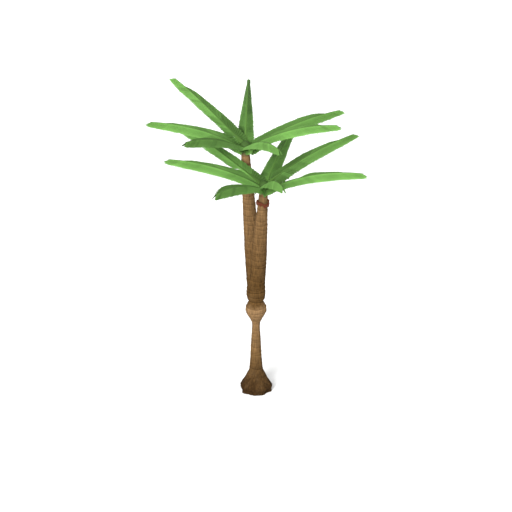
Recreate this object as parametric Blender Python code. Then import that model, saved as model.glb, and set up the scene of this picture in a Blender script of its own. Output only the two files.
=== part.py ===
"""A forked doum palm at its real size: its trunk, stems, crown hearts, fronds and a ring of fruit.

Metres, +Z up. The origin is the middle of the flat cut under the trunk, at ground level. The front of
the tree faces -Y, and its two crowns stand to the left (-X, behind) and to the right (+X, in front).
"""

import math
import random
from typing import NamedTuple

import bmesh
import bpy
from mathutils import Matrix, Vector

# Space left between a piece and what carries it
SEAT = 0.0003

# The column below the fork: height above the ground, and radius
COLUMN = (
    (0.00, 0.440),
    (0.07, 0.430),
    (0.17, 0.485),
    (0.27, 0.425),
    (0.37, 0.358),
    (0.49, 0.305),
    (0.58, 0.262),
    (0.68, 0.214),
    (0.99, 0.180),
    (1.49, 0.156),
    (1.99, 0.125),
    (2.19, 0.119),
    (2.30, 0.142),
    (2.42, 0.205),
    (2.54, 0.272),
    (2.66, 0.324),
    (2.79, 0.304),
    (2.89, 0.262),
    (2.97, 0.208),
    (3.05, 0.262),
    (3.20, 0.290),
    (3.45, 0.275),
    (3.75, 0.225),
    (4.05, 0.120),
)
COLUMN_SIDES = 28

# Root lobes round the foot: how many, how deep, and turned by how many radians
ROOT_LOBES = ((5, 0.022, 0.4), (8, 0.016, 1.9))
ROOT_LOBE_TOP = 0.60

# The two stems part inside the column and lean away from each other
STEM_FOOT = 3.15
STEM_SIDES = 18
STEM_RING_STEP = 0.30
STEM_BEND = 0.95
FORK_CUT = 4.90

# The heart: the sheathed bud that the fronds spring from. Height from its middle, and radius
HEART = (
    (-0.20, 0.130),
    (-0.15, 0.148),
    (-0.06, 0.158),
    (0.04, 0.150),
    (0.12, 0.120),
    (0.19, 0.072),
    (0.23, 0.026),
)
HEART_SIDES = 18

# A younger frond stands steeper and springs from higher on the heart
MEAN_RISE = 1.07
ROOT_HEIGHT_PER_RISE = 0.20

# The rib, from the heart's axis to its end near the frond's tip. Shares of its length, and sizes there
RIB_FOOT = 0.045
RIB_END = 0.965
RIB_HALF_WIDTH = ((0.0, 0.040), (0.05, 0.036), (0.12, 0.022), (0.5, 0.014), (1.0, 0.006))
RIB_DEPTH = ((0.0, 0.052), (0.05, 0.046), (0.12, 0.034), (0.5, 0.022), (1.0, 0.010))

# The leaflets of one side of a rib. Angles are in degrees, by share of the rib's length
LEAFLETS = 18
LEAFLET_START = 0.078
LEAFLET_END = 0.950
LEAFLET_SHARE_OF_PITCH = 0.82
LEAF_THICKNESS = 0.0065
LEAF_BEND_AT = 0.60
LEAF_CHORD_AT_BEND = 0.94
HALF_BLADE = ((0.06, 0.15), (0.14, 0.24), (0.24, 0.275), (0.5, 0.275), (0.72, 0.24), (0.88, 0.18), (1.0, 0.1))
FORWARD_ANGLE = ((0.06, 66.0), (0.25, 48.0), (0.60, 38.0), (1.0, 24.0))
DROOP_ANGLE = ((0.06, 24.0), (0.20, 37.0), (0.50, 59.0), (1.0, 80.0))
STEEPEST_DROOP = 82.0
TIP_DROOP = 9.0
STEEPEST_TIP = 87.0
LENGTH_JITTER = 0.05
JITTER_SEED = 7

# A frond keeps to its own sector of the crown, and to this share of it
WIDEST_SECTOR = 80.0
SECTOR_SHARE = 0.90
LEAST_ROOM = 0.02

# The ring of fruit on the right stem. Places are fruit radii beside a bunch's stalk and below it
FRUIT_RING_HEIGHT = 6.34
FRUIT_SWAG = 0.035
BUNCHES = 8
FRUIT_RADIUS = 0.028
FRUIT_PLACES = ((-1.15, 0.0), (1.15, 0.15), (0.0, 1.0), (-1.1, 2.0), (1.1, 2.1), (0.0, 3.0))
STALK_ENDS_IN = FRUIT_PLACES[2]
FRUIT_CLEAR = 0.002
STALK_RADIUS = 0.012
STALK_SIDES = 6

# Edges sharper than this many degrees stay sharp on a round piece
SHARP_BARK = 38.0
SHARP_FRUIT = 50.0

BARK_BROWN = (0.262, 0.155, 0.070, 1.0)
HEART_GREEN = (0.115, 0.255, 0.055, 1.0)
FROND_GREEN = (0.180, 0.430, 0.095, 1.0)
FRUIT_BROWN = (0.225, 0.052, 0.020, 1.0)


class Frond(NamedTuple):
    """One frond: the way it points (degrees from +X towards +Y), how far and how high its tip is from
    the middle of the heart, and how far its rib arches over the straight line to the tip."""

    name: str
    azimuth: float
    reach: float
    rise: float
    arch: float


class Crown(NamedTuple):
    """One stem and its crown: the stem's radius by height, the middle of the heart, the fronds in order."""

    side: str
    radii: tuple
    heart: tuple
    fronds: tuple


LEFT = Crown(
    side="left",
    radii=((3.15, 0.19), (3.45, 0.245), (4.0, 0.245), (4.6, 0.236), (5.9, 0.196), (6.5, 0.168), (7.5, 0.132)),
    heart=(-0.327, 0.42, 7.737),
    fronds=(
        Frond("frond_left_east", 17.0, 3.08, 0.85, 0.18),
        Frond("frond_left_back", 88.0, 2.98, 1.12, 0.22),
        Frond("frond_left_back_west", 142.0, 2.78, 1.61, 0.12),
        Frond("frond_left_west", 196.0, 3.00, 1.10, 0.20),
        Frond("frond_left_front_west", 234.0, 3.01, 1.06, 0.19),
        Frond("frond_left_front", 290.0, 3.02, 0.96, 0.26),
        Frond("frond_left_front_east", 340.0, 2.99, 1.06, 0.24),
    ),
)
RIGHT = Crown(
    side="right",
    radii=((3.15, 0.19), (3.45, 0.245), (4.0, 0.242), (4.6, 0.23), (5.2, 0.206), (5.7, 0.178), (6.61, 0.13)),
    heart=(0.231, -0.42, 6.809),
    fronds=(
        Frond("frond_right_east", 16.0, 2.88, 1.39, 0.17),
        Frond("frond_right_back", 69.0, 2.99, 1.18, 0.10),
        Frond("frond_right_back_west", 154.0, 2.85, 1.47, 0.16),
        Frond("frond_right_west", 194.0, 2.98, 1.14, 0.20),
        Frond("frond_right_front_west", 242.0, 3.09, 0.79, 0.20),
        Frond("frond_right_front", 281.0, 2.99, 1.08, 0.24),
        Frond("frond_right_front_east", 347.0, 3.10, 0.66, 0.25),
    ),
)


def clear_scene():
    """Removes every object of the startup scene."""
    for obj in list(bpy.data.objects):
        bpy.data.objects.remove(obj, do_unlink=True)


def material(name, colour, roughness):
    """A plain Principled finish."""
    made = bpy.data.materials.new(name)
    made.use_nodes = True
    shader = made.node_tree.nodes["Principled BSDF"]
    shader.inputs["Base Color"].default_value = colour
    shader.inputs["Roughness"].default_value = roughness
    shader.inputs["Metallic"].default_value = 0.0
    made.diffuse_color = colour
    return made


def along(table, x):
    """The value at x of a table of (x, value) rows, straight between rows and level past its ends."""
    if x <= table[0][0]:
        return table[0][1]
    for (x0, v0), (x1, v1) in zip(table, table[1:]):
        if x <= x1:
            return v0 + (v1 - v0) * (x - x0) / (x1 - x0)
    return table[-1][1]


def new_object(name, draw, finish, place=(0.0, 0.0, 0.0), turn=(0.0, 0.0, 0.0), parent=None):
    """Makes a mesh object of what draw puts into a bmesh, at a place and turn on its parent."""
    shape = bmesh.new()
    draw(shape)
    bmesh.ops.recalc_face_normals(shape, faces=shape.faces)
    mesh = bpy.data.meshes.new(name)
    shape.to_mesh(mesh)
    shape.free()
    obj = bpy.data.objects.new(name, mesh)
    obj.data.materials.append(finish)
    obj.parent = parent
    obj.location = place
    obj.rotation_euler = turn
    bpy.context.scene.collection.objects.link(obj)
    return obj


def shade_round(obj, sharp_degrees):
    """Shades a round piece smooth, with its real edges kept sharp."""
    obj.data.shade_smooth()
    obj.data.set_sharp_from_angle(angle=math.radians(sharp_degrees))


def ring(centre, sides, radius_at):
    """A level ring of points round a centre. radius_at gives the radius in each direction."""
    angles = [math.tau * i / sides for i in range(sides)]
    return [centre + Vector((math.cos(a), math.sin(a), 0.0)) * radius_at(a) for a in angles]


def skin(shape, rings):
    """Joins rings of the same number of points into one closed skin with flat ends.

    Returns its side faces by the number of the ring below and of the corner where each starts.
    """
    loops = [[shape.verts.new(point) for point in points] for points in rings]
    count = len(loops[0])
    sides = {}
    for n, (low, high) in enumerate(zip(loops, loops[1:])):
        for i in range(count):
            j = (i + 1) % count
            sides[n, i] = shape.faces.new((low[i], low[j], high[j], high[i]))
    shape.faces.new(list(reversed(loops[0])))
    shape.faces.new(loops[-1])
    return sides


def apply_modifiers(obj):
    """Replaces the object's mesh by what its modifiers make of it."""
    bpy.context.view_layer.update()
    graph = bpy.context.evaluated_depsgraph_get()
    mesh = bpy.data.meshes.new_from_object(obj.evaluated_get(graph))
    obj.modifiers.clear()
    obj.data = mesh


def join_all(obj, others):
    """Fuses the other objects into obj with one Boolean union, and removes them."""
    group = bpy.data.collections.new(obj.name + "_to_join")
    bpy.context.scene.collection.children.link(group)
    for other in others:
        group.objects.link(other)
    union = obj.modifiers.new("join", "BOOLEAN")
    union.operation = "UNION"
    union.operand_type = "COLLECTION"
    union.collection = group
    apply_modifiers(obj)
    for other in others:
        bpy.data.objects.remove(other, do_unlink=True)
    bpy.data.collections.remove(group)


def cut_away(obj, cutter):
    """Cuts the cutter's space out of obj."""
    cut = obj.modifiers.new("cut", "BOOLEAN")
    cut.operation = "DIFFERENCE"
    cut.object = cutter
    apply_modifiers(obj)


def stem_top(crown):
    """The height at which a stem ends and its heart begins."""
    return crown.heart[2] + HEART[0][0]


def stem_centre(crown, height):
    """The middle of a stem at a height: it parts from the column's axis and leans to its heart."""
    share = (height - STEM_FOOT) / (crown.heart[2] - STEM_FOOT)
    lean = share**STEM_BEND
    return Vector((crown.heart[0] * lean, crown.heart[1] * lean, height))


def stem_rings(crown, bottom, top, origin, extra=0.0):
    """Rings of one stem between two heights, seen from an origin, with extra added to its radius."""
    steps = round((top - bottom) / STEM_RING_STEP)
    rings = []
    for i in range(steps + 1):
        height = bottom + (top - bottom) * i / steps
        radius = along(crown.radii, height) + extra
        rings.append(ring(stem_centre(crown, height) - origin, STEM_SIDES, lambda angle, r=radius: r))
    return rings


def column_ring(height, radius):
    """A ring of the column, with root lobes near the ground."""
    fade = max(0.0, 1.0 - height / ROOT_LOBE_TOP)

    def radius_at(angle):
        """The radius in one direction."""
        return radius + fade * sum(deep * math.cos(lobes * angle + turn) for lobes, deep, turn in ROOT_LOBES)

    return ring(Vector((0.0, 0.0, height)), COLUMN_SIDES, radius_at)


def build_trunk(bark):
    """The column from the ground to just over the fork, with the feet of both stems fused in."""
    trunk = new_object("trunk", lambda shape: skin(shape, [column_ring(h, r) for h, r in COLUMN]), bark)
    feet = []
    for crown in (LEFT, RIGHT):
        rings = stem_rings(crown, STEM_FOOT, FORK_CUT, Vector())
        feet.append(new_object("foot_" + crown.side, lambda shape, r=rings: skin(shape, r), bark))
    join_all(trunk, feet)
    shade_round(trunk, SHARP_BARK)


def upper_stem(name, crown, finish, extra=0.0):
    """A stem from its seat on the fork to the foot of its heart, with extra added to its radius."""
    bottom = FORK_CUT + SEAT
    foot = stem_centre(crown, bottom)
    rings = stem_rings(crown, bottom, stem_top(crown) - SEAT, foot, extra)
    stem = new_object(name, lambda shape: skin(shape, rings), finish, place=foot)
    shade_round(stem, SHARP_BARK)
    return stem


def heart_shape(name, finish, parent, extra=0.0):
    """The heart's shape, with extra added to its radius."""
    rings = []
    for height, radius in HEART:
        rings.append(ring(Vector((0.0, 0.0, height)), HEART_SIDES, lambda angle, r=radius: r + extra))
    heart = new_object(name, lambda shape: skin(shape, rings), finish, parent=parent)
    shade_round(heart, SHARP_BARK)
    return heart


class Rib:
    """The line of a frond's rib, from the heart's axis out along +X, and the frame its leaflets stand in."""

    side = Vector((0.0, 1.0, 0.0))

    def __init__(self, frond):
        self.root_height = (frond.rise - MEAN_RISE) * ROOT_HEIGHT_PER_RISE
        self.reach = frond.reach
        self.climb = frond.rise - self.root_height
        self.arch = frond.arch

    def point(self, share):
        """The rib's middle at a share of its way from the heart's axis to the frond's tip."""
        return Vector((self.reach * share, 0.0, self.climb * share + 4.0 * self.arch * share * (1.0 - share)))

    def tangent(self, share):
        """The rib's direction there."""
        return Vector((self.reach, 0.0, self.climb + 4.0 * self.arch * (1.0 - 2.0 * share))).normalized()

    def up(self, share):
        """The direction square to the rib and to its side."""
        return self.tangent(share).cross(self.side)

    def section(self, share):
        """Five corners of the rib: flat above, keeled below, with an edge each side for the leaflets."""
        half = along(RIB_HALF_WIDTH, share)
        droop = math.radians(along(DROOP_ANGLE, share))
        slant = math.sin(droop) * LEAF_THICKNESS / 2.0
        level = math.cos(droop) * LEAF_THICKNESS / 2.0
        corners = (
            (half + slant, level),
            (half - slant, -level),
            (0.0, -along(RIB_DEPTH, share)),
            (slant - half, -level),
            (-half - slant, level),
        )
        return [self.point(share) + self.side * across + self.up(share) * above for across, above in corners]

    def leaf_direction(self, share, turn, droop):
        """The way a leaflet points. turn is 1 on the side vector's side and -1 on the other."""
        forward = math.radians(along(FORWARD_ANGLE, share))
        across = self.side * (turn * math.cos(droop)) - self.up(share) * math.sin(droop)
        return self.tangent(share) * math.cos(forward) + across * math.sin(forward)

    def leaf_fall(self, share, room):
        """A leaflet's length and droop. Where the frond's own sector is narrow it hangs more steeply."""
        half = along(HALF_BLADE, share)
        droop = math.radians(along(DROOP_ANGLE, share))
        free = max(LEAST_ROOM, self.reach * share * room * SECTOR_SHARE - along(RIB_HALF_WIDTH, share))
        if half * math.cos(droop) > free:
            droop = min(math.acos(free / half), math.radians(STEEPEST_DROOP))
            half = min(half, free / math.cos(droop))
        return half / math.sin(math.radians(along(FORWARD_ANGLE, share))), droop


def sector_rooms(crown, index):
    """How wide a frond's own sector is on its two sides: the tangents of half the gaps to its neighbours."""
    azimuths = [frond.azimuth for frond in crown.fronds]
    after = (azimuths[(index + 1) % len(azimuths)] - azimuths[index]) % 360.0
    before = (azimuths[index] - azimuths[index - 1]) % 360.0
    return [math.tan(math.radians(min(gap, WIDEST_SECTOR) / 2.0)) for gap in (after, before)]


def draw_leaflet(shape, face, rib, share, turn, length, droop):
    """Draws one face of the rib's edge out into a leaflet that bends down and ends in a point."""
    blade = bmesh.ops.extrude_discrete_faces(shape, faces=[face])["faces"][0]
    reach = rib.leaf_direction(share, turn, droop) * (length * LEAF_BEND_AT)
    middle = blade.calc_center_median()
    for vert in blade.verts:
        vert.co = middle + (vert.co - middle) * LEAF_CHORD_AT_BEND + reach
    tip = bmesh.ops.poke(shape, faces=[blade])["verts"][0]
    tip_droop = min(droop + math.radians(TIP_DROOP), math.radians(STEEPEST_TIP))
    tip.co += rib.leaf_direction(share, turn, tip_droop) * (length * (1.0 - LEAF_BEND_AT))


def draw_frond(shape, rib, rooms, chance):
    """One frond: a rib with a leaflet drawn out of each edge at each station, cut to the rib between."""
    pitch = (LEAFLET_END - LEAFLET_START) / LEAFLETS
    stations = [0.0, RIB_FOOT]
    starts = []
    for i in range(LEAFLETS):
        starts.append(len(stations))
        stations.append(LEAFLET_START + pitch * i)
        stations.append(LEAFLET_START + pitch * (i + LEAFLET_SHARE_OF_PITCH))
    stations.append(RIB_END)
    sides = skin(shape, [rib.section(share) for share in stations])
    for n in starts:
        middle = (stations[n] + stations[n + 1]) / 2.0
        for turn, corner, room in ((1, 0, rooms[0]), (-1, 3, rooms[1])):
            length, droop = rib.leaf_fall(middle, room)
            length *= 1.0 + chance.uniform(-LENGTH_JITTER, LENGTH_JITTER)
            draw_leaflet(shape, sides[n, corner], rib, middle, turn, length, droop)


def build_crown(crown, sheath, leaf):
    """A heart and its fronds, each frond cut to the heart that it springs from."""
    middle = bpy.data.objects.new("crown_" + crown.side, None)
    middle.location = crown.heart
    bpy.context.scene.collection.objects.link(middle)
    heart_shape("heart_" + crown.side, sheath, middle)
    cutter = heart_shape("heart_cutter", sheath, middle, SEAT)
    chance = random.Random(JITTER_SEED)
    for index, frond in enumerate(crown.fronds):
        rib = Rib(frond)
        rooms = sector_rooms(crown, index)
        made = new_object(
            frond.name,
            lambda shape, r=rib, w=rooms: draw_frond(shape, r, w, chance),
            leaf,
            place=(0.0, 0.0, rib.root_height),
            turn=(0.0, 0.0, math.radians(frond.azimuth)),
            parent=middle,
        )
        cut_away(made, cutter)
    bpy.data.objects.remove(cutter, do_unlink=True)


def draw_stalk(shape, start, end):
    """A bunch's short stalk, from inside the bark down and outwards."""
    side = Vector((0.0, 1.0, 0.0))
    upward = (end - start).normalized().cross(side)
    turns = [math.tau * i / STALK_SIDES for i in range(STALK_SIDES)]
    spokes = [(side * math.cos(t) + upward * math.sin(t)) * STALK_RADIUS for t in turns]
    skin(shape, [[place + spoke for spoke in spokes] for place in (start, end)])


def fruit_middle(crown, height, place):
    """A fruit's middle, seen from the stem's axis at its bunch's height, just clear of the bark."""
    beside = place[0] * FRUIT_RADIUS
    drop = place[1] * FRUIT_RADIUS
    away = along(crown.radii, height - drop) + FRUIT_RADIUS + FRUIT_CLEAR
    around = math.asin(beside / away)
    return Vector((away * math.cos(around), away * math.sin(around), -drop))


def draw_fruit(shape, middle):
    """One fruit."""
    bmesh.ops.create_icosphere(shape, subdivisions=1, radius=FRUIT_RADIUS, matrix=Matrix.Translation(middle))


def build_fruit_ring(crown, stem, finish):
    """Bunches round a stem: in each, a stalk and its fruits are one solid, just clear of the bark."""
    cutter = upper_stem("stem_cutter", crown, finish, SEAT)
    for n in range(BUNCHES):
        angle = math.tau * (n + 0.5) / BUNCHES
        height = FRUIT_RING_HEIGHT + FRUIT_SWAG * math.sin(2.0 * angle)
        start = Vector((along(crown.radii, height) - STALK_RADIUS, 0.0, 0.0))
        end = fruit_middle(crown, height, STALK_ENDS_IN)
        axis = stem_centre(crown, height + STALK_RADIUS) - stem_centre(crown, height)
        tilt = Vector((0.0, 0.0, 1.0)).rotation_difference(axis).to_matrix() @ Matrix.Rotation(angle, 3, "Z")
        bunch = new_object(
            "fruit_bunch_%d" % (n + 1),
            lambda shape, a=start, b=end: draw_stalk(shape, a, b),
            finish,
            place=stem_centre(crown, height) - stem.location,
            turn=tilt.to_euler(),
            parent=stem,
        )
        fruits = []
        for place in FRUIT_PLACES:
            at = fruit_middle(crown, height, place)
            fruits.append(new_object("fruit", lambda shape, p=at: draw_fruit(shape, p), finish, parent=bunch))
        join_all(bunch, fruits)
        cut_away(bunch, cutter)
        shade_round(bunch, SHARP_FRUIT)
    bpy.data.objects.remove(cutter, do_unlink=True)


def main():
    """Builds the whole palm."""
    clear_scene()
    bark = material("bark", BARK_BROWN, 0.85)
    sheath = material("sheath", HEART_GREEN, 0.6)
    leaf = material("leaf", FROND_GREEN, 0.5)
    fruit = material("fruit", FRUIT_BROWN, 0.4)
    build_trunk(bark)
    for crown in (LEFT, RIGHT):
        stem = upper_stem("stem_" + crown.side, crown, bark)
        build_crown(crown, sheath, leaf)
        if crown is RIGHT:
            build_fruit_ring(crown, stem, fruit)


main()
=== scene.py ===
"""A forked doum palm dressed over its frame: ringed bark, sheathed hearts, fine fronds, ripe fruit.

Metres, +Z up, the ground at Z 0. The front of the tree faces -Y. Its two crowns stand to the left (-X,
behind) and to the right (+X, in front), and every piece follows the same rules and sizes as the solids.
"""

import logging
import math
import random
from contextlib import contextmanager
from dataclasses import dataclass
from enum import Enum
from typing import Iterator, Sequence

import bpy
import numpy as np
from mathutils import Matrix, Vector, noise
from mathutils.kdtree import KDTree


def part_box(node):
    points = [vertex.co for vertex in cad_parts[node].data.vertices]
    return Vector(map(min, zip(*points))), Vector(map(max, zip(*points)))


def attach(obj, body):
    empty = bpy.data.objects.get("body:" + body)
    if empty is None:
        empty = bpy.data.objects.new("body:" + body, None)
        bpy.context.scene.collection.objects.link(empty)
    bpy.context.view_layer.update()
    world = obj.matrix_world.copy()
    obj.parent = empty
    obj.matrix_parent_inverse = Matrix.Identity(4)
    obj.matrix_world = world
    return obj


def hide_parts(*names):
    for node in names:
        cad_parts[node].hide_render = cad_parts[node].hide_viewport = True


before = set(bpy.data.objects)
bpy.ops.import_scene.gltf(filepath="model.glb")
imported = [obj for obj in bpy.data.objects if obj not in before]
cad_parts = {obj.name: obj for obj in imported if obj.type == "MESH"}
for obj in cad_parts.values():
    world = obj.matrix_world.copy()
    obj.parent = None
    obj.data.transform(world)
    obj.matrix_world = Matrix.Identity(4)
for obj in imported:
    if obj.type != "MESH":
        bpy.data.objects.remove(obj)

LOG = logging.getLogger("doum_palm")
BODY = "root"

Piece = bpy.types.Object
Material = bpy.types.Material
Socket = bpy.types.NodeSocket
Table = Sequence[tuple[float, float]]
Range = tuple[float, float]
Place = tuple[float, float, float]
Colour = tuple[float, float, float]
Feed = float | Sequence[float] | Socket

WHOLE: Range = (0.0, 1.0)
# Most of a cloud's values lie here.
MOST: Range = (0.3, 0.7)
# A frond's leaflets spread this way and the other way from its rib.
SIDEWAYS = np.array((0.0, 1.0, 0.0))
ORIGIN: Place = (0.0, 0.0, 0.0)
# Points that are less than this under a ring, in metres, count as on it.
TOUCHING = 1e-4
# Edges that climb less than this, in metres, are level.
LEVEL = 1e-3


class Slot(Enum):
    """The record's material slots."""

    BARK = "bark"
    SHEATH = "sheath"
    LEAF = "leaf"
    FRUIT = "fruit"


class Tone(Enum):
    """The greens of the leaflets: one green at five brightnesses, dealt out as random differences and as
    painted light and shade. A value is the tone's place in a frond's list of materials.
    """

    DARK = 0
    DEEP = 1
    FULL = 2
    FRESH = 3
    LIGHT = 4


class Side(Enum):
    """The two sides of a frond, seen from its heart. A value is the side's place in a pair."""

    LEFT = 0
    RIGHT = 1

    @property
    def turn(self) -> int:
        """The way along the frond's own Y."""
        return 1 - 2 * self.value


class Edge(Enum):
    """The sharpest edge, in degrees, that is shaded smooth: on bark, on ribs and hearts, and on the rest."""

    ROUGH = 60.0
    FIRM = 50.0
    FINE = 40.0


def along(table: Table, x: np.ndarray | float) -> np.ndarray | float:
    """Reads a table of (x, value) rows, straight between rows and level past its ends.

    Args:
        table: The rows, in order of x.
        x: Where to read it.

    Returns:
        The values at x.
    """
    return np.interp(x, [row[0] for row in table], [row[1] for row in table])


def smooth_rise(x: np.ndarray, low: float, high: float) -> np.ndarray:
    """Climbs smoothly from 0 at low to 1 at high."""
    share = np.clip((x - low) / (high - low), 0.0, 1.0)
    return share * share * (3.0 - 2.0 * share)


def noise_at(points: np.ndarray) -> np.ndarray:
    """Samples smooth noise, from about -1 to 1, once for each row of three numbers."""
    return np.fromiter((noise.noise(point) for point in points.tolist()), float, len(points))


def unit(rows: np.ndarray) -> np.ndarray:
    """Brings every row to length 1."""
    return rows / np.linalg.norm(rows, axis=-1, keepdims=True)


def clear_choice() -> None:
    """Deselects every object."""
    bpy.ops.object.select_all(action="DESELECT")


def choose(*pieces: Piece) -> None:
    """Selects these objects alone.

    Args:
        *pieces: The objects, of which the first becomes the active one.
    """
    clear_choice()
    for piece in pieces:
        piece.select_set(True)
    bpy.context.view_layer.objects.active = pieces[0]


@contextmanager
def edit_mode(piece: Piece) -> Iterator[None]:
    """Works on one piece in edit mode.

    Args:
        piece: The piece, all of which is selected to start with.
    """
    choose(piece)
    bpy.ops.object.mode_set(mode="EDIT")
    bpy.ops.mesh.select_all(action="SELECT")
    yield
    bpy.ops.object.mode_set(mode="OBJECT")


@contextmanager
def picked(piece: Piece, kind: str, chosen: np.ndarray) -> Iterator[None]:
    """Works on some edges or faces of a piece in edit mode.

    Args:
        piece: The piece.
        kind: EDGE or FACE.
        chosen: Whether each edge or face is picked.
    """
    with edit_mode(piece):
        bpy.ops.mesh.select_mode(type=kind)
        bpy.ops.mesh.select_all(action="DESELECT")
    parts = piece.data.edges if kind == "EDGE" else piece.data.polygons
    parts.foreach_set("select", chosen)
    choose(piece)
    bpy.ops.object.mode_set(mode="EDIT")
    yield
    bpy.ops.mesh.select_mode(type="VERT")
    bpy.ops.object.mode_set(mode="OBJECT")


def draw_out(step: Sequence[float]) -> None:
    """Extrudes what is selected by a step."""
    bpy.ops.mesh.extrude_region_move(TRANSFORM_OT_translate={"value": step})


def resize(size: Sequence[float], middle: Sequence[float]) -> None:
    """Resizes what is selected round a middle."""
    bpy.ops.transform.resize(value=size, center_override=middle)


def middle_of_selected(piece: Piece) -> Vector:
    """Finds the middle of what is selected in edit mode.

    Args:
        piece: The piece in edit mode.

    Returns:
        The mean of its selected points.
    """
    bpy.ops.object.mode_set(mode="OBJECT")
    chosen = [vertex.co for vertex in piece.data.vertices if vertex.select]
    middle = sum(chosen, Vector()) / len(chosen)
    bpy.ops.object.mode_set(mode="EDIT")
    return middle


def rename(piece: Piece, name: str) -> None:
    """Names a piece and its mesh."""
    piece.name = name
    piece.data.name = name


def new_circle(name: str, sides: int, radius: float, middle: Sequence[float]) -> Piece:
    """Adds a filled circle that a limb is then extruded from.

    Args:
        name: The name of the piece.
        sides: How many corners the circle has.
        radius: Its radius.
        middle: Its middle.

    Returns:
        The new piece.
    """
    clear_choice()
    bpy.ops.mesh.primitive_circle_add(vertices=sides, radius=radius, fill_type="NGON", location=middle)
    piece = bpy.context.active_object
    rename(piece, name)
    return piece


def own_copy(model: Piece, name: str) -> Piece:
    """Copies a piece.

    Args:
        model: The piece to copy.
        name: The name of the copy.

    Returns:
        The copy, with a mesh of its own.
    """
    copy = model.copy()
    copy.data = model.data.copy()
    rename(copy, name)
    bpy.context.scene.collection.objects.link(copy)
    return copy


def face_outwards(piece: Piece) -> None:
    """Turns every face of a closed piece outwards."""
    with edit_mode(piece):
        bpy.ops.mesh.normals_make_consistent(inside=False)


def settle(piece: Piece) -> None:
    """Puts a piece's place and turn into its mesh, so that its object sits at the origin."""
    choose(piece)
    bpy.ops.object.transform_apply(location=True, rotation=True, scale=True)


def shade(piece: Piece, edge: Edge) -> None:
    """Shades a piece smooth, apart from its sharp edges."""
    choose(piece)
    bpy.ops.object.shade_smooth_by_angle(angle=math.radians(edge.value))


def read_points(piece: Piece) -> np.ndarray:
    """Reads a piece's points.

    Args:
        piece: The piece.

    Returns:
        One row for each point.
    """
    points = np.empty(len(piece.data.vertices) * 3)
    piece.data.vertices.foreach_get("co", points)
    return points.reshape(-1, 3)


def move_points(piece: Piece, points: np.ndarray) -> None:
    """Moves a piece's points to new places, one row each."""
    piece.data.vertices.foreach_set("co", points.astype(np.float32).ravel())
    piece.data.update()


def keep_values(piece: Piece, name: str, values: np.ndarray) -> None:
    """Keeps one number for each of a piece's points, as a named attribute."""
    layer = piece.data.attributes.get(name) or piece.data.attributes.new(name, "FLOAT", "POINT")
    layer.data.foreach_set("value", values.astype(np.float32))


def read_values(piece: Piece, name: str) -> np.ndarray:
    """Reads the numbers that a piece's points keep.

    Args:
        piece: The piece.
        name: The name that they are kept under.

    Returns:
        One number for each point.
    """
    values = np.empty(len(piece.data.vertices), dtype=np.float32)
    piece.data.attributes[name].data.foreach_get("value", values)
    return values


def lay_uv(piece: Piece, spots: np.ndarray) -> None:
    """Gives a piece a UV map, with one row for each corner of its faces."""
    layer = piece.data.uv_layers.new(name="UVMap")
    layer.data.foreach_set("uv", spots.astype(np.float32).ravel())


def join_copies(name: str, model: Piece, places: Sequence[Matrix]) -> Piece:
    """Copies a model to many places, each copy with its own mesh, and joins them.

    Args:
        name: The name of the joined piece.
        model: The piece to copy.
        places: Where each copy goes.

    Returns:
        The joined piece.
    """
    copies = []
    for place in places:
        copy = own_copy(model, name)
        copy.matrix_world = place
        copies.append(copy)
    choose(*copies)
    bpy.ops.object.join()
    joined = bpy.context.active_object
    rename(joined, name)
    settle(joined)
    return joined


def add_to(piece: Piece, other: Piece, finishes: Sequence[Material], number: int) -> None:
    """Joins another piece into this one.

    Args:
        piece: The piece that grows.
        other: The piece that is joined into it.
        finishes: The materials that both parts need, in order.
        number: The number of the other piece's material.
    """
    for part in (piece, other):
        for finish in finishes[len(part.data.materials):]:
            part.data.materials.append(finish)
    other.data.polygons.foreach_set("material_index", [number] * len(other.data.polygons))
    choose(piece, other)
    bpy.ops.object.join()


def dress(piece: Piece, nodes: Sequence[str], finishes: Sequence[Material]) -> None:
    """Gives a finished piece its materials and its body, hides the nodes that it stands for, and logs its
    faces.

    Args:
        piece: The finished piece.
        nodes: The names of the nodes that it replaces.
        finishes: Its materials, in the order of its faces' material numbers.
    """
    numbers = np.empty(len(piece.data.polygons), dtype=np.int32)
    piece.data.polygons.foreach_get("material_index", numbers)
    piece.data.materials.clear()
    for finish in finishes:
        piece.data.materials.append(finish)
    piece.data.polygons.foreach_set("material_index", numbers)
    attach(piece, BODY)
    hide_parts(*nodes)
    LOG.info("%s: %d faces", piece.name, len(piece.data.polygons))


def shaded(colour: Colour, amount: float) -> Colour:
    """Lightens or darkens a plain colour."""
    return tuple(min(1.0, part * amount) for part in colour)


@dataclass(frozen=True)
class Cloud:
    """A cloudy pattern: its cells in a metre, or across a UV map, along X, Y and Z, and how fine it is."""

    cells: Place
    detail: float
    rough: float = 0.5
    source: str = "Object"


@dataclass(frozen=True)
class Gloss:
    """How a surface takes light: its roughness, how strongly it mirrors, and its fine relief's depth."""

    rough: Range
    mirror: float
    depth: float


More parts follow.
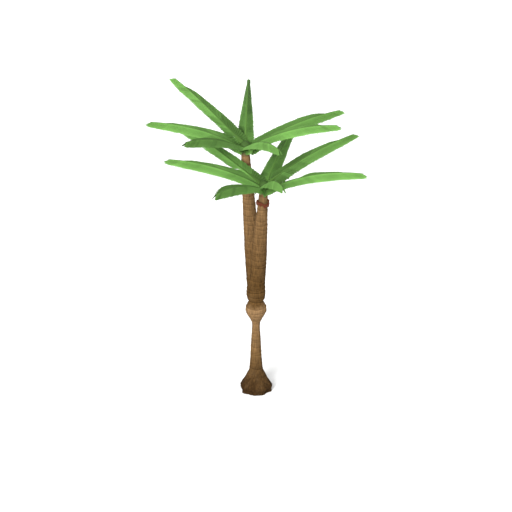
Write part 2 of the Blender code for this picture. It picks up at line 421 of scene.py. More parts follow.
class Recipe:
    """A material's node tree under construction, with short calls for the nodes that finishes share."""

    def __init__(self, name: str) -> None:
        """Starts a material with a Principled shader.

        Args:
            name: The material's name.
        """
        self.material = bpy.data.materials.new(name)
        self.material.use_nodes = True
        self.nodes = self.material.node_tree.nodes
        self.links = self.material.node_tree.links
        self.shader = self.nodes["Principled BSDF"]
        self.place = self.add("ShaderNodeTexCoord")

    def add(self, kind: str, **settings: str) -> bpy.types.Node:
        """Adds a node.

        Args:
            kind: The kind of node.
            **settings: Its properties.

        Returns:
            The node.
        """
        node = self.nodes.new(kind)
        for key, value in settings.items():
            setattr(node, key, value)
        return node

    def into(self, socket: Socket, value: Feed) -> None:
        """Links another node's output to a socket, or sets the socket.

        Args:
            socket: The input to fill.
            value: An output, a number, a place or a colour.
        """
        if isinstance(value, Socket):
            self.links.new(value, socket)
        elif socket.type == "RGBA":
            socket.default_value = (*value, 1.0)
        else:
            socket.default_value = value

    def feed(self, node: bpy.types.Node, **inputs: Feed) -> bpy.types.Node:
        """Fills a node's inputs.

        Args:
            node: The node to feed.
            **inputs: What each input takes. Its name has _ for a space.

        Returns:
            The same node.
        """
        for key, value in inputs.items():
            self.into(node.inputs[key.replace("_", " ")], value)
        return node

    def cloud(self, cloud: Cloud) -> Socket:
        """Adds a cloudy pattern.

        Args:
            cloud: The pattern.

        Returns:
            Its values, from 0 to 1 about a mean of 0.5.
        """
        mapping = self.add("ShaderNodeMapping")
        self.feed(mapping, Vector=self.place.outputs[cloud.source], Scale=cloud.cells)
        node = self.add("ShaderNodeTexNoise")
        where = mapping.outputs["Vector"]
        self.feed(node, Vector=where, Scale=1.0, Detail=cloud.detail, Roughness=cloud.rough)
        return node.outputs["Fac"]

    def part(self, source: str, axis: str) -> Socket:
        """Takes one number out of a place."""
        node = self.feed(self.add("ShaderNodeSeparateXYZ"), Vector=self.place.outputs[source])
        return node.outputs[axis]

    def kept(self, name: str) -> Socket:
        """Reads a number that the piece's points keep."""
        return self.add("ShaderNodeAttribute", attribute_name=name).outputs["Fac"]

    def span(self, value: Socket, from_range: Range, to_range: Range) -> Socket:
        """Carries one range over to another.

        Args:
            value: The number to carry over.
            from_range: The range that it is in, which it is held to.
            to_range: The range that it goes to.

        Returns:
            The number in its new range.
        """
        node = self.add("ShaderNodeMapRange")
        low, high = from_range
        bottom, top = to_range
        self.feed(node, Value=value, From_Min=low, From_Max=high, To_Min=bottom, To_Max=top)
        return node.outputs["Result"]

    def work(self, operation: str, first: Feed, second: Feed) -> Socket:
        """Works two numbers together.

        Args:
            operation: ADD or MULTIPLY.
            first: The first number.
            second: The second number.

        Returns:
            Their sum or product.
        """
        node = self.add("ShaderNodeMath", operation=operation)
        self.into(node.inputs[0], first)
        self.into(node.inputs[1], second)
        return node.outputs[0]

    def ramp(self, value: Socket, stops: Sequence[tuple[float, Colour]]) -> Socket:
        """Turns a number into a colour.

        Args:
            value: The number, from 0 to 1.
            stops: Rows of a place from 0 to 1 and its colour.

        Returns:
            The colour.
        """
        node = self.add("ShaderNodeValToRGB")
        steps = node.color_ramp.elements
        while len(steps) < len(stops):
            steps.new(0.5)
        for step, (place, colour) in zip(steps, stops):
            step.position = place
            step.color = (*colour, 1.0)
        self.into(node.inputs["Fac"], value)
        return node.outputs["Color"]

    def mix(self, amount: Socket, first: Feed, second: Feed) -> Socket:
        """Mixes two colours.

        Args:
            amount: How much there is of the second.
            first: The first colour.
            second: The second colour.

        Returns:
            The mixture.
        """
        node = self.add("ShaderNodeMix", data_type="RGBA")
        colours = [socket for socket in node.inputs if socket.type == "RGBA"]
        self.into(node.inputs["Factor"], amount)
        self.into(colours[0], first)
        self.into(colours[1], second)
        return next(socket for socket in node.outputs if socket.type == "RGBA")

    def tint(self, colour: Socket, pattern: Socket, shades: Range, over: Range = MOST) -> Socket:
        """Darkens and lightens a colour by a pattern.

        Args:
            colour: The colour.
            pattern: The pattern.
            shades: How much of the colour's light stays at the pattern's low and high end.
            over: The pattern's low and high end.

        Returns:
            The patterned colour.
        """
        node = self.add("ShaderNodeVectorMath", operation="SCALE")
        self.into(node.inputs[0], colour)
        self.into(node.inputs["Scale"], self.span(pattern, over, shades))
        return node.outputs[0]

    def finish(self, colour: Socket, pattern: Socket, relief: Socket, gloss: Gloss) -> Material:
        """Wires the shader.

        Args:
            colour: The base colour.
            pattern: The pattern that the roughness follows.
            relief: The height of the fine relief.
            gloss: How the surface takes light.

        Returns:
            The finished material.
        """
        bump = self.feed(self.add("ShaderNodeBump"), Height=relief, Distance=gloss.depth, Strength=1.0)
        low, high = gloss.rough
        rough = low if low == high else self.span(pattern, MOST, gloss.rough)
        self.feed(self.shader, Base_Color=colour, Roughness=rough, Normal=bump.outputs["Normal"])
        self.shader.inputs["Specular IOR Level"].default_value = gloss.mirror
        return self.material


@dataclass(frozen=True)
class BarkFinish:
    """Dry fissured bark: brown by height in metres, light on worn lips, painted shade in its cracks and scar
    grooves, dusty in places.
    """

    name: str = "fissured_bark"
    tallest: float = 8.0
    tones: Sequence[tuple[float, Colour]] = (
        (0.00, (0.027, 0.013, 0.004)),
        (0.25, (0.035, 0.018, 0.006)),
        (0.45, (0.058, 0.031, 0.011)),
        (1.20, (0.098, 0.055, 0.020)),
        (2.25, (0.138, 0.080, 0.035)),
        (2.76, (0.168, 0.100, 0.046)),
        (3.02, (0.070, 0.037, 0.012)),
        (3.60, (0.060, 0.031, 0.009)),
        (4.60, (0.090, 0.049, 0.018)),
        (5.60, (0.120, 0.068, 0.028)),
        (7.40, (0.153, 0.090, 0.040)),
    )
    drift: float = 0.55
    drift_cloud: Cloud = Cloud((1.6, 1.6, 1.6), detail=3.0)
    grain: Cloud = Cloud((26.0, 26.0, 2.6), detail=8.0, rough=0.62)
    grain_shades: Range = (0.66, 1.34)
    grain_relief: float = 0.7
    flecks: Cloud = Cloud((70.0, 70.0, 24.0), detail=4.0, rough=0.6)
    fleck_shades: Range = (0.86, 1.14)
    fleck_relief: float = 0.3
    dust: Cloud = Cloud((5.0, 5.0, 3.0), detail=5.0)
    dust_over: Range = (0.52, 0.72)
    dust_amount: Range = (0.0, 0.12)
    dust_colour: Colour = (0.120, 0.080, 0.043)
    # How much of the colour the wear and painted shade attribute leaves, from the painted shade in cracks and
    # grooves to the worn lips.
    wear_and_shade_factors: Range = (0.52, 1.26)
    gloss: Gloss = Gloss(rough=(0.78, 0.96), mirror=0.03, depth=0.010)

    def make(self) -> Material:
        """Makes the material.

        Returns:
            The bark.
        """
        recipe = Recipe(self.name)
        wander = recipe.span(recipe.cloud(self.drift_cloud), WHOLE, (-self.drift, self.drift))
        height = recipe.work("ADD", recipe.part("Object", "Z"), wander)
        share = recipe.span(height, (0.0, self.tallest), WHOLE)
        grain = recipe.cloud(self.grain)
        flecks = recipe.cloud(self.flecks)
        dust = recipe.span(recipe.cloud(self.dust), self.dust_over, self.dust_amount)
        colour = recipe.ramp(share, [(z / self.tallest, tone) for z, tone in self.tones])
        colour = recipe.tint(colour, grain, self.grain_shades)
        colour = recipe.tint(colour, flecks, self.fleck_shades)
        colour = recipe.mix(dust, colour, self.dust_colour)
        # Painted shade in the cracks, the grooves over the scars and the cords' feet; worn lips and cord
        # crests are lighter.
        colour = recipe.tint(colour, recipe.kept("wear_and_crease_shade"), self.wear_and_shade_factors, WHOLE)
        coarse = recipe.work("MULTIPLY", grain, self.grain_relief)
        fine = recipe.work("MULTIPLY", flecks, self.fleck_relief)
        return recipe.finish(colour, grain, recipe.work("ADD", coarse, fine), self.gloss)


@dataclass(frozen=True)
class SheathFinish:
    """The fibrous sheath of a heart: brown netting at its foot, fresh green above."""

    name: str = "fibrous_sheath"
    foot: Colour = (0.120, 0.088, 0.038)
    top: Colour = (0.038, 0.084, 0.016)
    top_shade: float = 0.9
    green_over: Range = (0.06, 0.28)
    fibres: Cloud = Cloud((70.0, 70.0, 7.0), detail=5.0, rough=0.6)
    fray: Range = (-0.14, 0.14)
    fibre_shades: Range = (0.72, 1.25)
    gloss: Gloss = Gloss(rough=(0.60, 0.85), mirror=0.15, depth=0.004)

    def make(self) -> Material:
        """Makes the material.

        Returns:
            The sheath.
        """
        recipe = Recipe(self.name)
        fibres = recipe.cloud(self.fibres)
        height = recipe.work("ADD", recipe.kept("rise"), recipe.span(fibres, MOST, self.fray))
        brown, green = self.green_over
        stops = [(brown, self.foot), (green, self.top), (1.0, shaded(self.top, self.top_shade))]
        colour = recipe.tint(recipe.ramp(height, stops), fibres, self.fibre_shades)
        return recipe.finish(colour, fibres, fibres, self.gloss)


@dataclass(frozen=True)
class LeafFinish:
    """A leathery leaflet: one green, a little uneven, with fine veins that run to its tip."""

    name: str
    green: Colour
    uneven: Cloud = Cloud((2.2, 2.2, 2.2), detail=3.0)
    uneven_shades: Range = (0.90, 1.10)
    veins: Cloud = Cloud((18.0, 0.8, 1.0), detail=3.0, source="UV")
    vein_shades: Range = (0.90, 1.10)
    gloss: Gloss = Gloss(rough=(0.52, 0.68), mirror=0.04, depth=0.0015)

    def make(self) -> Material:
        """Makes the material.

        Returns:
            The leaflets' green.
        """
        recipe = Recipe(self.name)
        veins = recipe.cloud(self.veins)
        darker, lighter = (shaded(self.green, shade) for shade in self.uneven_shades)
        colour = recipe.mix(recipe.span(recipe.cloud(self.uneven), MOST, WHOLE), darker, lighter)
        colour = recipe.tint(colour, veins, self.vein_shades)
        return recipe.finish(colour, veins, veins, self.gloss)


@dataclass(frozen=True)
class RibFinish:
    """A rib: smooth yellow-green, deeper by the heart, faintly streaked along its length."""

    name: str = "pale_rib"
    green: Colour = (0.060, 0.132, 0.025)
    foot: Colour = (0.044, 0.094, 0.018)
    foot_ends: Range = (0.03, 0.20)
    streaks: Cloud = Cloud((16.0, 3.0, 1.0), detail=4.0, rough=0.55, source="UV")
    streak_shades: Range = (0.86, 1.14)
    gloss: Gloss = Gloss(rough=(0.50, 0.66), mirror=0.08, depth=0.002)

    def make(self) -> Material:
        """Makes the material.

        Returns:
            The ribs' green.
        """
        recipe = Recipe(self.name)
        streaks = recipe.cloud(self.streaks)
        outward = recipe.span(recipe.part("UV", "Y"), self.foot_ends, WHOLE)
        colour = recipe.tint(recipe.mix(outward, self.foot, self.green), streaks, self.streak_shades)
        return recipe.finish(colour, streaks, streaks, self.gloss)


@dataclass(frozen=True)
class FruitFinish:
    """A ripe fruit: glossy chestnut skin, mottled, with pale specks."""

    name: str = "chestnut_fruit"
    skin: Colour = (0.084, 0.0155, 0.0035)
    mottle: Cloud = Cloud((34.0, 34.0, 34.0), detail=4.0, rough=0.6)
    mottle_stops: Table = ((0.28, 0.55), (0.52, 1.0), (0.74, 1.55))
    specks: Cloud = Cloud((210.0, 210.0, 210.0), detail=2.0)
    speck_over: Range = (0.64, 0.72)
    speck_amount: Range = (0.0, 0.4)
    speck_colour: Colour = (0.26, 0.115, 0.045)
    gloss: Gloss = Gloss(rough=(0.36, 0.54), mirror=0.14, depth=0.0008)

    def make(self) -> Material:
        """Makes the material.

        Returns:
            The fruit's skin.
        """
        recipe = Recipe(self.name)
        mottle = recipe.cloud(self.mottle)
        specks = recipe.cloud(self.specks)
        stops = [(place, shaded(self.skin, shade)) for place, shade in self.mottle_stops]
        specked = recipe.span(specks, self.speck_over, self.speck_amount)
        colour = recipe.mix(specked, recipe.ramp(mottle, stops), self.speck_colour)
        return recipe.finish(colour, mottle, recipe.work("ADD", mottle, specks), self.gloss)


@dataclass(frozen=True)
class MottledFinish:
    """A plain mottled surface: one colour, from a darker to a lighter shade."""

    name: str
    colour: Colour
    mottle: Cloud
    shades: Range
    gloss: Gloss

    def make(self) -> Material:
        """Makes the material.

        Returns:
            The mottled surface.
        """
        recipe = Recipe(self.name)
        mottle = recipe.cloud(self.mottle)
        stops = [(place, shaded(self.colour, shade)) for place, shade in zip(MOST, self.shades)]
        return recipe.finish(recipe.ramp(mottle, stops), mottle, mottle, self.gloss)


@dataclass(frozen=True)
class HornFinish(MottledFinish):
    """A hard spine: near black, with some brown."""

    name: str = "dark_spine"
    colour: Colour = (0.070, 0.036, 0.016)
    mottle: Cloud = Cloud((60.0, 60.0, 60.0), detail=3.0)
    shades: Range = (0.45, 1.0)
    gloss: Gloss = Gloss(rough=(0.28, 0.45), mirror=0.5, depth=0.0006)


@dataclass(frozen=True)
class StalkFinish(MottledFinish):
    """A woody fruit stalk, and the cap of a fruit."""

    name: str = "woody_stalk"
    colour: Colour = (0.072, 0.026, 0.009)
    mottle: Cloud = Cloud((70.0, 70.0, 70.0), detail=4.0)
    shades: Range = (0.7, 1.3)
    gloss: Gloss = Gloss(rough=(0.6, 0.8), mirror=0.3, depth=0.002)


@dataclass(frozen=True)
class FloorFinish(MottledFinish):
    """A plain pale floor with the faintest unevenness."""

    name: str = "pale_floor"
    colour: Colour = (0.84, 0.84, 0.84)
    mottle: Cloud = Cloud((0.8, 0.8, 0.8), detail=3.0)
    shades: Range = (0.99, 1.0)
    gloss: Gloss = Gloss(rough=(0.95, 0.95), mirror=0.0, depth=0.001)


@dataclass(frozen=True)
class Finishes:
    """Every material of the palm."""

    bark: Material
    sheath: Material
    leaves: Sequence[Material]
    rib: Material
    spine: Material
    fruit: Material
    stalk: Material

    @classmethod
    def make(cls) -> "Finishes":
        """Makes every material once.

        Returns:
            The materials.
        """
        # One green at five brightnesses: lit and shaded copies that paint light and shade across the fronds,
        # and random differences.
        shaded_greens = {
            Tone.DARK: (0.051, 0.112, 0.025),
            Tone.DEEP: (0.070, 0.155, 0.035),
            Tone.FULL: (0.087, 0.191, 0.043),
            Tone.FRESH: (0.108, 0.238, 0.054),
            Tone.LIGHT: (0.122, 0.268, 0.061),
        }
        return cls(
            bark=BarkFinish().make(),
            sheath=SheathFinish().make(),
            leaves=[LeafFinish("leaflet_tone_and_shade_" + tone.name.lower(), shaded_greens[tone]).make() for tone in Tone],
            rib=RibFinish().make(),
            spine=HornFinish().make(),
            fruit=FruitFinish().make(),
            stalk=StalkFinish().make(),
        )


@dataclass(frozen=True)
class Scar:
    """The ring that one leaf left: its height, the way the leaf stood, its strength and how far it leans."""

    height: float
    leaf: float = 0.0
    strength: float = 0.0
    sway: float = 0.0


@dataclass(frozen=True)
class Seam:
    """A net of lines drawn out along a limb: their depth, the net's cells, the lines' width and its place."""

    depth: float
    cells: Place
    width: float
    shift: float

    def find(self, places: np.ndarray) -> np.ndarray:
        """Finds how far places are into a line, from 0 beside it to 1 in its middle."""
        return 1.0 - smooth_rise(np.abs(noise_at(places / self.cells + self.shift)), 0.0, self.width)


@dataclass(frozen=True)
class BarkRelief:
    """The relief of a ringed and fissured bark. Every ring leans towards the side of its leaf.

    The rows say at which shares of the way from ring to ring the mesh has its rows of points. A ripple is its
    weight, its waves round the limb and its step from ring to ring. Sizes and places are in metres.
    """

    spacing: float = 0.135
    unevenness: float = 0.35
    strengths: Range = (0.55, 1.15)
    clearance: float = 0.25
    sway: float = 0.026
    ripple: float = 0.011
    ripples: Sequence[Place] = ((1.0, 2.6, 7.3), (0.5, 9.0, 3.1))
    level: float = 4.90
    leaf_turn: float = 137.5
    rows: Sequence[float] = (0.0, 0.035, 0.08, 0.16, 0.27, 0.40, 0.53, 0.66, 0.78, 0.87, 0.94, 0.98)
    lip: float = 0.0080
    lip_fade: float = 0.030
    groove: float = 0.0055
    groove_fade: float = 0.014
    patches: Place = (9.0, 9.0, 4.0)
    patchiness: float = 0.55
    clear_below: Range = (0.30, 0.75)
    crack: Seam = Seam(depth=0.0070, cells=(0.050, 0.050, 0.34), width=0.16, shift=31.7)
    crack_gaps: float = 0.31
    crack_gaps_shift: float = 5.2
    crack_gaps_over: Range = (-0.25, 0.35)
    crack_least: float = 0.35
    swell: float = 0.007
    swell_size: float = 0.22
    swell_shift: float = 9.1
    cord: Seam = Seam(depth=0.016, cells=(0.085, 0.085, 0.55), width=0.30, shift=57.3)
    cordless_above: Range = (0.25, 0.85)
    # Painted shade in the cracks, the lighter worn crests of the cords, and painted shade at the cords' feet.
    crack_painted_shade: float = 0.55
    cord_light: float = 0.45
    cord_foot_shade: float = 0.35
    seed: int = 11

    def scars(self, bottom: float, top: float) -> list[Scar]:
        """Deals out the leaf scars, with one of them level where the stems' feet end.

        Args:
            bottom: The lowest scar's height.
            top: Where they end.

        Returns:
            The scars from below.
        """
        chance = random.Random(self.seed)
        rows = []
        height = bottom
        while height < top:
            leaf = math.radians(self.leaf_turn * len(rows))
            rows.append(Scar(height, leaf, chance.uniform(*self.strengths), self.sway))
            height += self.spacing * (1.0 + chance.uniform(-self.unevenness, self.unevenness))
        nearest = min(rows, key=lambda scar: abs(scar.height - self.level))
        if abs(nearest.height - self.level) < self.spacing:
            rows[rows.index(nearest)] = Scar(self.level, nearest.leaf, nearest.strength)
        return rows

    def rings(self, bottom: float, top: float, ends: Range) -> list[Scar]:
        """Picks the rings of one stretch of a limb.

        Args:
            bottom: The height of its lower end.
            top: The height of its upper end.
            ends: The heights between which the limb bears leaf scars.

        Returns:
            The rings from below, the first and the last of them at its ends.
        """
        scars = self.scars(*ends)
        clear = self.spacing * self.clearance
        lowest, highest = (
            next((scar for scar in scars if scar.height == end), Scar(end)) for end in (bottom, top)
        )
        inner = [scar for scar in scars if bottom + clear < scar.height < top - clear]
        return [lowest, *inner, highest]

    def lean(self, rings: Sequence[Scar], index: np.ndarray, angles: np.ndarray) -> np.ndarray:
        """Finds how far rings lean out of level.

        Args:
            rings: The rings.
            index: The number of the ring, for each point.
            angles: The points' directions from the limb's middle.

        Returns:
            The rise over the ring's height at each point.
        """
        leaves = np.array([ring.leaf for ring in rings])[index]
        sways = np.array([ring.sway for ring in rings])[index]
        ripple = self.ripple * sum(
            weight * noise_at(np.column_stack((np.cos(angles) * waves, np.sin(angles) * waves, index * step)))
            for weight, waves, step in self.ripples
        )
        return sways * (np.cos(angles - leaves) + ripple / self.sway)

    def lips(
        self, rings: Sequence[Scar], index: np.ndarray, share: np.ndarray, gap: np.ndarray
    ) -> np.ndarray:
        """Finds the raised lip under each scar and the groove over it.

        Args:
            rings: The rings.
            index: The number of the ring under each point.
            share: How far each point is on the way to the ring above.
            gap: How far that ring is over the one below.

        Returns:
            How far the points stand out.
        """
        strengths = np.array([ring.strength for ring in rings])
        passed = np.clip(share / self.rows[1], 0.0, 1.0)
        groove = passed * self.groove * np.exp(-share * gap / self.groove_fade)
        lower = strengths[index] * ((1.0 - passed) * self.lip - groove)
        upper = strengths[index + 1] * self.lip * np.exp(-(1.0 - share) * gap / self.lip_fade)
        return lower + upper

    def cracks(self, places: np.ndarray) -> np.ndarray:
        """Finds the cracks that run up the bark, each of them deep in places and faint in others.

        Args:
            places: The points on the smooth limb.

        Returns:
            How deep each point is in a crack, from 0 to 1.
        """
        gaps = noise_at(places / self.crack.cells * self.crack_gaps + self.crack_gaps_shift)
        deep = smooth_rise(gaps, *self.crack_gaps_over)
        return self.crack.find(places) * (self.crack_least + (1.0 - self.crack_least) * deep)

    def carve(
        self, heights: np.ndarray, angles: np.ndarray, radii: np.ndarray, rings: Sequence[Scar]
    ) -> tuple[np.ndarray, np.ndarray, np.ndarray]:
        """Works out the relief at points on a limb.

        Args:
            heights: The points' heights, evenly spread from ring to ring.
            angles: Their directions from the limb's middle.
            radii: The limb's radius there.
            rings: The limb's rings.

        Returns:
            The points' new heights, how far each moves outwards, and its wear and painted shade, from 0 in a
            crack
            to 1 on a lip: painted shade darkens the cracks, the grooves over the scars and the cords' feet.
        """
        bases = np.array([ring.height for ring in rings])
        index = np.clip(np.searchsorted(bases, heights + TOUCHING) - 1, 0, len(rings) - 2)
        gap = bases[index + 1] - bases[index]
        even = np.linspace(0.0, 1.0, len(self.rows) + 1)
        share = np.interp((heights - bases[index]) / gap, even, (*self.rows, 1.0))
        lean = (1.0 - share) * self.lean(rings, index, angles) + share * self.lean(rings, index + 1, angles)
        level = bases[index] + share * gap
        places = np.column_stack((np.cos(angles) * radii, np.sin(angles) * radii, level))
        patchy = 1.0 + self.patchiness * noise_at(places * self.patches)
        lips = self.lips(rings, index, share, gap) * patchy * smooth_rise(level, *self.clear_below)
        cracks = self.cracks(places)
        swell = self.swell * noise_at(places / self.swell_size + self.swell_shift)
        cords = self.cord.find(places) * (1.0 - smooth_rise(level, *self.cordless_above))
        moved = lips - self.crack.depth * cracks + swell + self.cord.depth * cords
        # Wear and painted shade: worn lips and cord crests lighter, painted shade in the cracks, the grooves
        # over the scars and the cords' feet.
        light = self.cord_light * (cords - self.cord_foot_shade * (cords > 0.0))
        wear_and_shade = 0.5 + lips / (2.0 * self.lip) - self.crack_painted_shade * cracks + light
        return level + lean, moved, np.clip(wear_and_shade, 0.0, 1.0)


@dataclass(frozen=True)
class Limb:
    """The column, or a stem that parts from its axis and leans to a heart: its middle line and radius.

    A root lobe is how many of them stand round the foot, how deep they are and how far they are turned.
    """

    radii: Table
    heart: Place
    sides: int
    scarred: Range
    parting: float = 3.15
    bend: float = 0.95
    lobes: Sequence[tuple[int, float, float]] = ()
    lobes_end: float = 0.60

    def middle(self, heights: np.ndarray | float) -> tuple[np.ndarray, np.ndarray]:
        """Finds the limb's middle at some heights.

        Args:
            heights: The heights above the ground.

        Returns:
            The X and the Y of the middle.
        """
        share = np.clip((heights - self.parting) / (self.heart[2] - self.parting), 0.0, None)
        lean = share**self.bend
        return self.heart[0] * lean, self.heart[1] * lean

    def outline(self, heights: np.ndarray, angles: np.ndarray) -> np.ndarray:
        """Finds the limb's radius, with root lobes near the ground.

        Args:
            heights: The heights above the ground.
            angles: The directions from the middle.

        Returns:
            The radius at each.
        """
        fade = np.clip(1.0 - heights / self.lobes_end, 0.0, None)
        swell = sum(deep * np.cos(count * angles + turn) for count, deep, turn in self.lobes)
        return along(self.radii, heights) + fade * swell

    def draw(self, name: str, heights: Sequence[float], cuts: int) -> Piece:
        """Extrudes a circle up the limb, ring by ring, and cuts the rows between the rings finer.

        Args:
            name: The name of the piece.
            heights: The rings' heights, from the lower end to the upper.
            cuts: How many rows to cut between two rings.

        Returns:
            The smooth limb.
        """
        middles = [Vector((*self.middle(height), height)) for height in heights]
        widths = along(self.radii, np.array(heights))
        limb = new_circle(name, self.sides, widths[0], middles[0])
        settle(limb)
        with edit_mode(limb):
            for low, high, narrow, wide in zip(middles, middles[1:], widths, widths[1:]):
                grow = wide / narrow
                draw_out(high - low)
                resize((grow, grow, 1.0), high)
        self.cut_rows(limb, cuts)
        face_outwards(limb)
        return limb

    def cut_rows(self, limb: Piece, cuts: int) -> None:
        """Subdivides the edges that climb from ring to ring.

        Args:
            limb: The limb.
            cuts: How many rows to cut between two rings.
        """
        pairs = np.empty(len(limb.data.edges) * 2, dtype=np.int64)
        limb.data.edges.foreach_get("vertices", pairs)
        ends = read_points(limb)[pairs.reshape(-1, 2), 2]
        with picked(limb, "EDGE", np.abs(ends[:, 0] - ends[:, 1]) > LEVEL):
            bpy.ops.mesh.subdivide(number_cuts=cuts)

    def carve(self, limb: Piece, relief: BarkRelief, rings: Sequence[Scar]) -> None:
        """Works the bark's relief into a smooth limb, and keeps each point's wear and painted shade.

        Args:
            limb: The smooth limb.
            relief: The bark's relief.
            rings: The rings that the limb was drawn with.
        """
        points = read_points(limb)
        heights = points[:, 2]
        x, y = self.middle(heights)
        angles = np.arctan2(points[:, 1] - y, points[:, 0] - x)
        heights, moved, wear_and_shade = relief.carve(heights, angles, along(self.radii, heights), rings)
        x, y = self.middle(heights)
        radii = self.outline(heights, angles) + moved
        move_points(limb, np.column_stack((x + np.cos(angles) * radii, y + np.sin(angles) * radii, heights)))
        # Keeps the wear and the painted shade in the cracks and grooves as one attribute.
        keep_values(limb, "wear_and_crease_shade", wear_and_shade)

    def build(self, name: str, bottom: float, top: float, relief: BarkRelief) -> Piece:
        """Builds one stretch of the limb with its bark.

        Args:
            name: The name of the piece.
            bottom: The height of its lower end.
            top: The height of its upper end.
            relief: The bark's relief.

        Returns:
            The limb.
        """
        rings = relief.rings(bottom, top, self.scarred)
        limb = self.draw(name, [ring.height for ring in rings], len(relief.rows) - 1)
        self.carve(limb, relief, rings)
        return limb


@dataclass(frozen=True)
class Heart:
    """The sheathed bud that a crown's fronds spring from.

    The profile is rows of height from its middle, and radius. Its sheaths wrap round it, and its netted
    fibres slant both ways.
    """

    middle: Place
    profile: Table = (
        (-0.20, 0.130), (-0.15, 0.148), (-0.08, 0.157), (0.00, 0.160),
        (0.08, 0.166), (0.14, 0.150), (0.19, 0.095), (0.22, 0.030),
    )
    sides: int = 96
    rings: int = 23
    fibres: int = 22
    fibre_slant: float = 60.0
    fibre_depth: float = 0.0022
    wraps: int = 5
    wrap_turns: float = 2.0
    wrap_depth: float = 0.007
    wrap_edge: float = 0.12
    plain_over: Range = (0.75, 1.0)

    def build(self, name: str) -> Piece:
        """Extrudes the heart ring by ring and works wrapping sheaths and netted fibres into it.

        Args:
            name: The name of the piece.

        Returns:
            The heart.
        """
        bottom, top = self.profile[0][0], self.profile[-1][0]
        radii = [(self.middle[2] + height, radius) for height, radius in self.profile]
        limb = Limb(radii, self.middle, self.sides, scarred=(0.0, 0.0), bend=0.0)
        heights = self.middle[2] + np.linspace(bottom, top, self.rings)
        piece = limb.draw(name, heights.tolist(), 1)
        offset = read_points(piece) - np.array(self.middle)
        angles = np.arctan2(offset[:, 1], offset[:, 0])
        rise = (offset[:, 2] - bottom) / (top - bottom)
        around, slant = self.fibres * angles, self.fibre_slant * offset[:, 2]
        net = np.cos(around + slant) * np.cos(around - slant)
        wound = (rise * self.wraps + angles / math.tau * self.wrap_turns) % 1.0
        wrap = self.wrap_depth * (wound - 0.5) * smooth_rise(wound, 0.0, self.wrap_edge)
        fade = 1.0 - smooth_rise(rise, *self.plain_over)
        grow = 1.0 + (self.fibre_depth * net + wrap) * fade / along(self.profile, offset[:, 2])
        shaped = np.column_stack((offset[:, :2] * grow[:, None], offset[:, 2]))
        move_points(piece, shaped + np.array(self.middle))
        keep_values(piece, "rise", rise)
        shade(piece, Edge.FIRM)
        return piece


@dataclass(frozen=True)
class FrondPlan:
    """One frond: its node, the way it points, where its tip is from the heart's middle, and its arch.

    The azimuth is in degrees from +X towards +Y. The arch is how far the rib rises over the straight line.
    The shaded greens tell how light the leaflets are along the rib, as places in the list of tones, and paint
    light and shade into them: mostly darker near the heart and on the back fronds, lighter on the fronds that
    face the light. The lifts are the degrees by which the leaflets of its two sides hang less than the rule
    says, as a frond rolls a little, and the side shades are painted shade: how much darker each side is, the
    side turned from the light darker, a negative one lighter. The bow is how far the rib swings sideways,
    towards its +Y, and the least droops are the angles below level that the lifts stop at.
    """

    node: str
    azimuth: float
    reach: float
    rise: float
    arch: float
    # Painted light and shade along the rib, and painted shade on each side.
    shaded_greens: Table
    lifts: Range = (0.0, 0.0)
    side_shades: Range = (0.0, 0.0)
    bow: float = 0.0
    least_droops: Range = (0.0, 0.0)


@dataclass(frozen=True)
class Rib:
    """The line of a frond's rib, from the heart's axis out along +X, and the frame its leaflets stand in.

    The bow's peak makes it as wide as the plan says, which it is at a third of the rib.
    """

    plan: FrondPlan
    mean_rise: float = 1.07
    root_per_rise: float = 0.20
    tip_lift: float = 0.045
    bow_peak: float = 6.75

    @property
    def root_height(self) -> float:
        """How far over the heart's middle the rib springs: a steeper frond springs from higher."""
        return (self.plan.rise - self.mean_rise) * self.root_per_rise

    @property
    def climb(self) -> float:
        """How far the tip is over the root."""
        return self.plan.rise - self.root_height

    @property
    def stand(self) -> Matrix:
        """Where the frond's own frame stands over the heart's middle."""
        turn = Matrix.Rotation(math.radians(self.plan.azimuth), 4, "Z")
        return Matrix.Translation((0.0, 0.0, self.root_height)) @ turn

    def point(self, share: np.ndarray) -> np.ndarray:
        """Finds the rib's middle.

        Args:
            share: The shares of its way to the tip.

        Returns:
            One row for each share.
        """
        height = self.climb * share + 4.0 * self.plan.arch * share * (1.0 - share) + self.tip_lift * share**2
        swing = self.bow_peak * self.plan.bow * share * (1.0 - share) ** 2
        return np.stack((self.plan.reach * share, swing, height), axis=-1)

    def slope(self, share: np.ndarray) -> np.ndarray:
        """Finds how the rib's middle moves along it.

        Args:
            share: The shares of its way to the tip.

        Returns:
            One row for each share.
        """
        rise = self.climb + 4.0 * self.plan.arch * (1.0 - 2.0 * share) + 2.0 * self.tip_lift * share
        swing = self.bow_peak * self.plan.bow * (1.0 - share) * (1.0 - 3.0 * share)
        return np.stack((np.full_like(share, self.plan.reach), swing, rise), axis=-1)

    def tangent(self, share: np.ndarray) -> np.ndarray:
        """Finds the rib's direction, one row for each share."""
        return unit(self.slope(share))

    def up(self, share: np.ndarray) -> np.ndarray:
        """Finds the direction square to the rib and to its side, one row for each share."""
        return np.cross(self.tangent(share), SIDEWAYS)


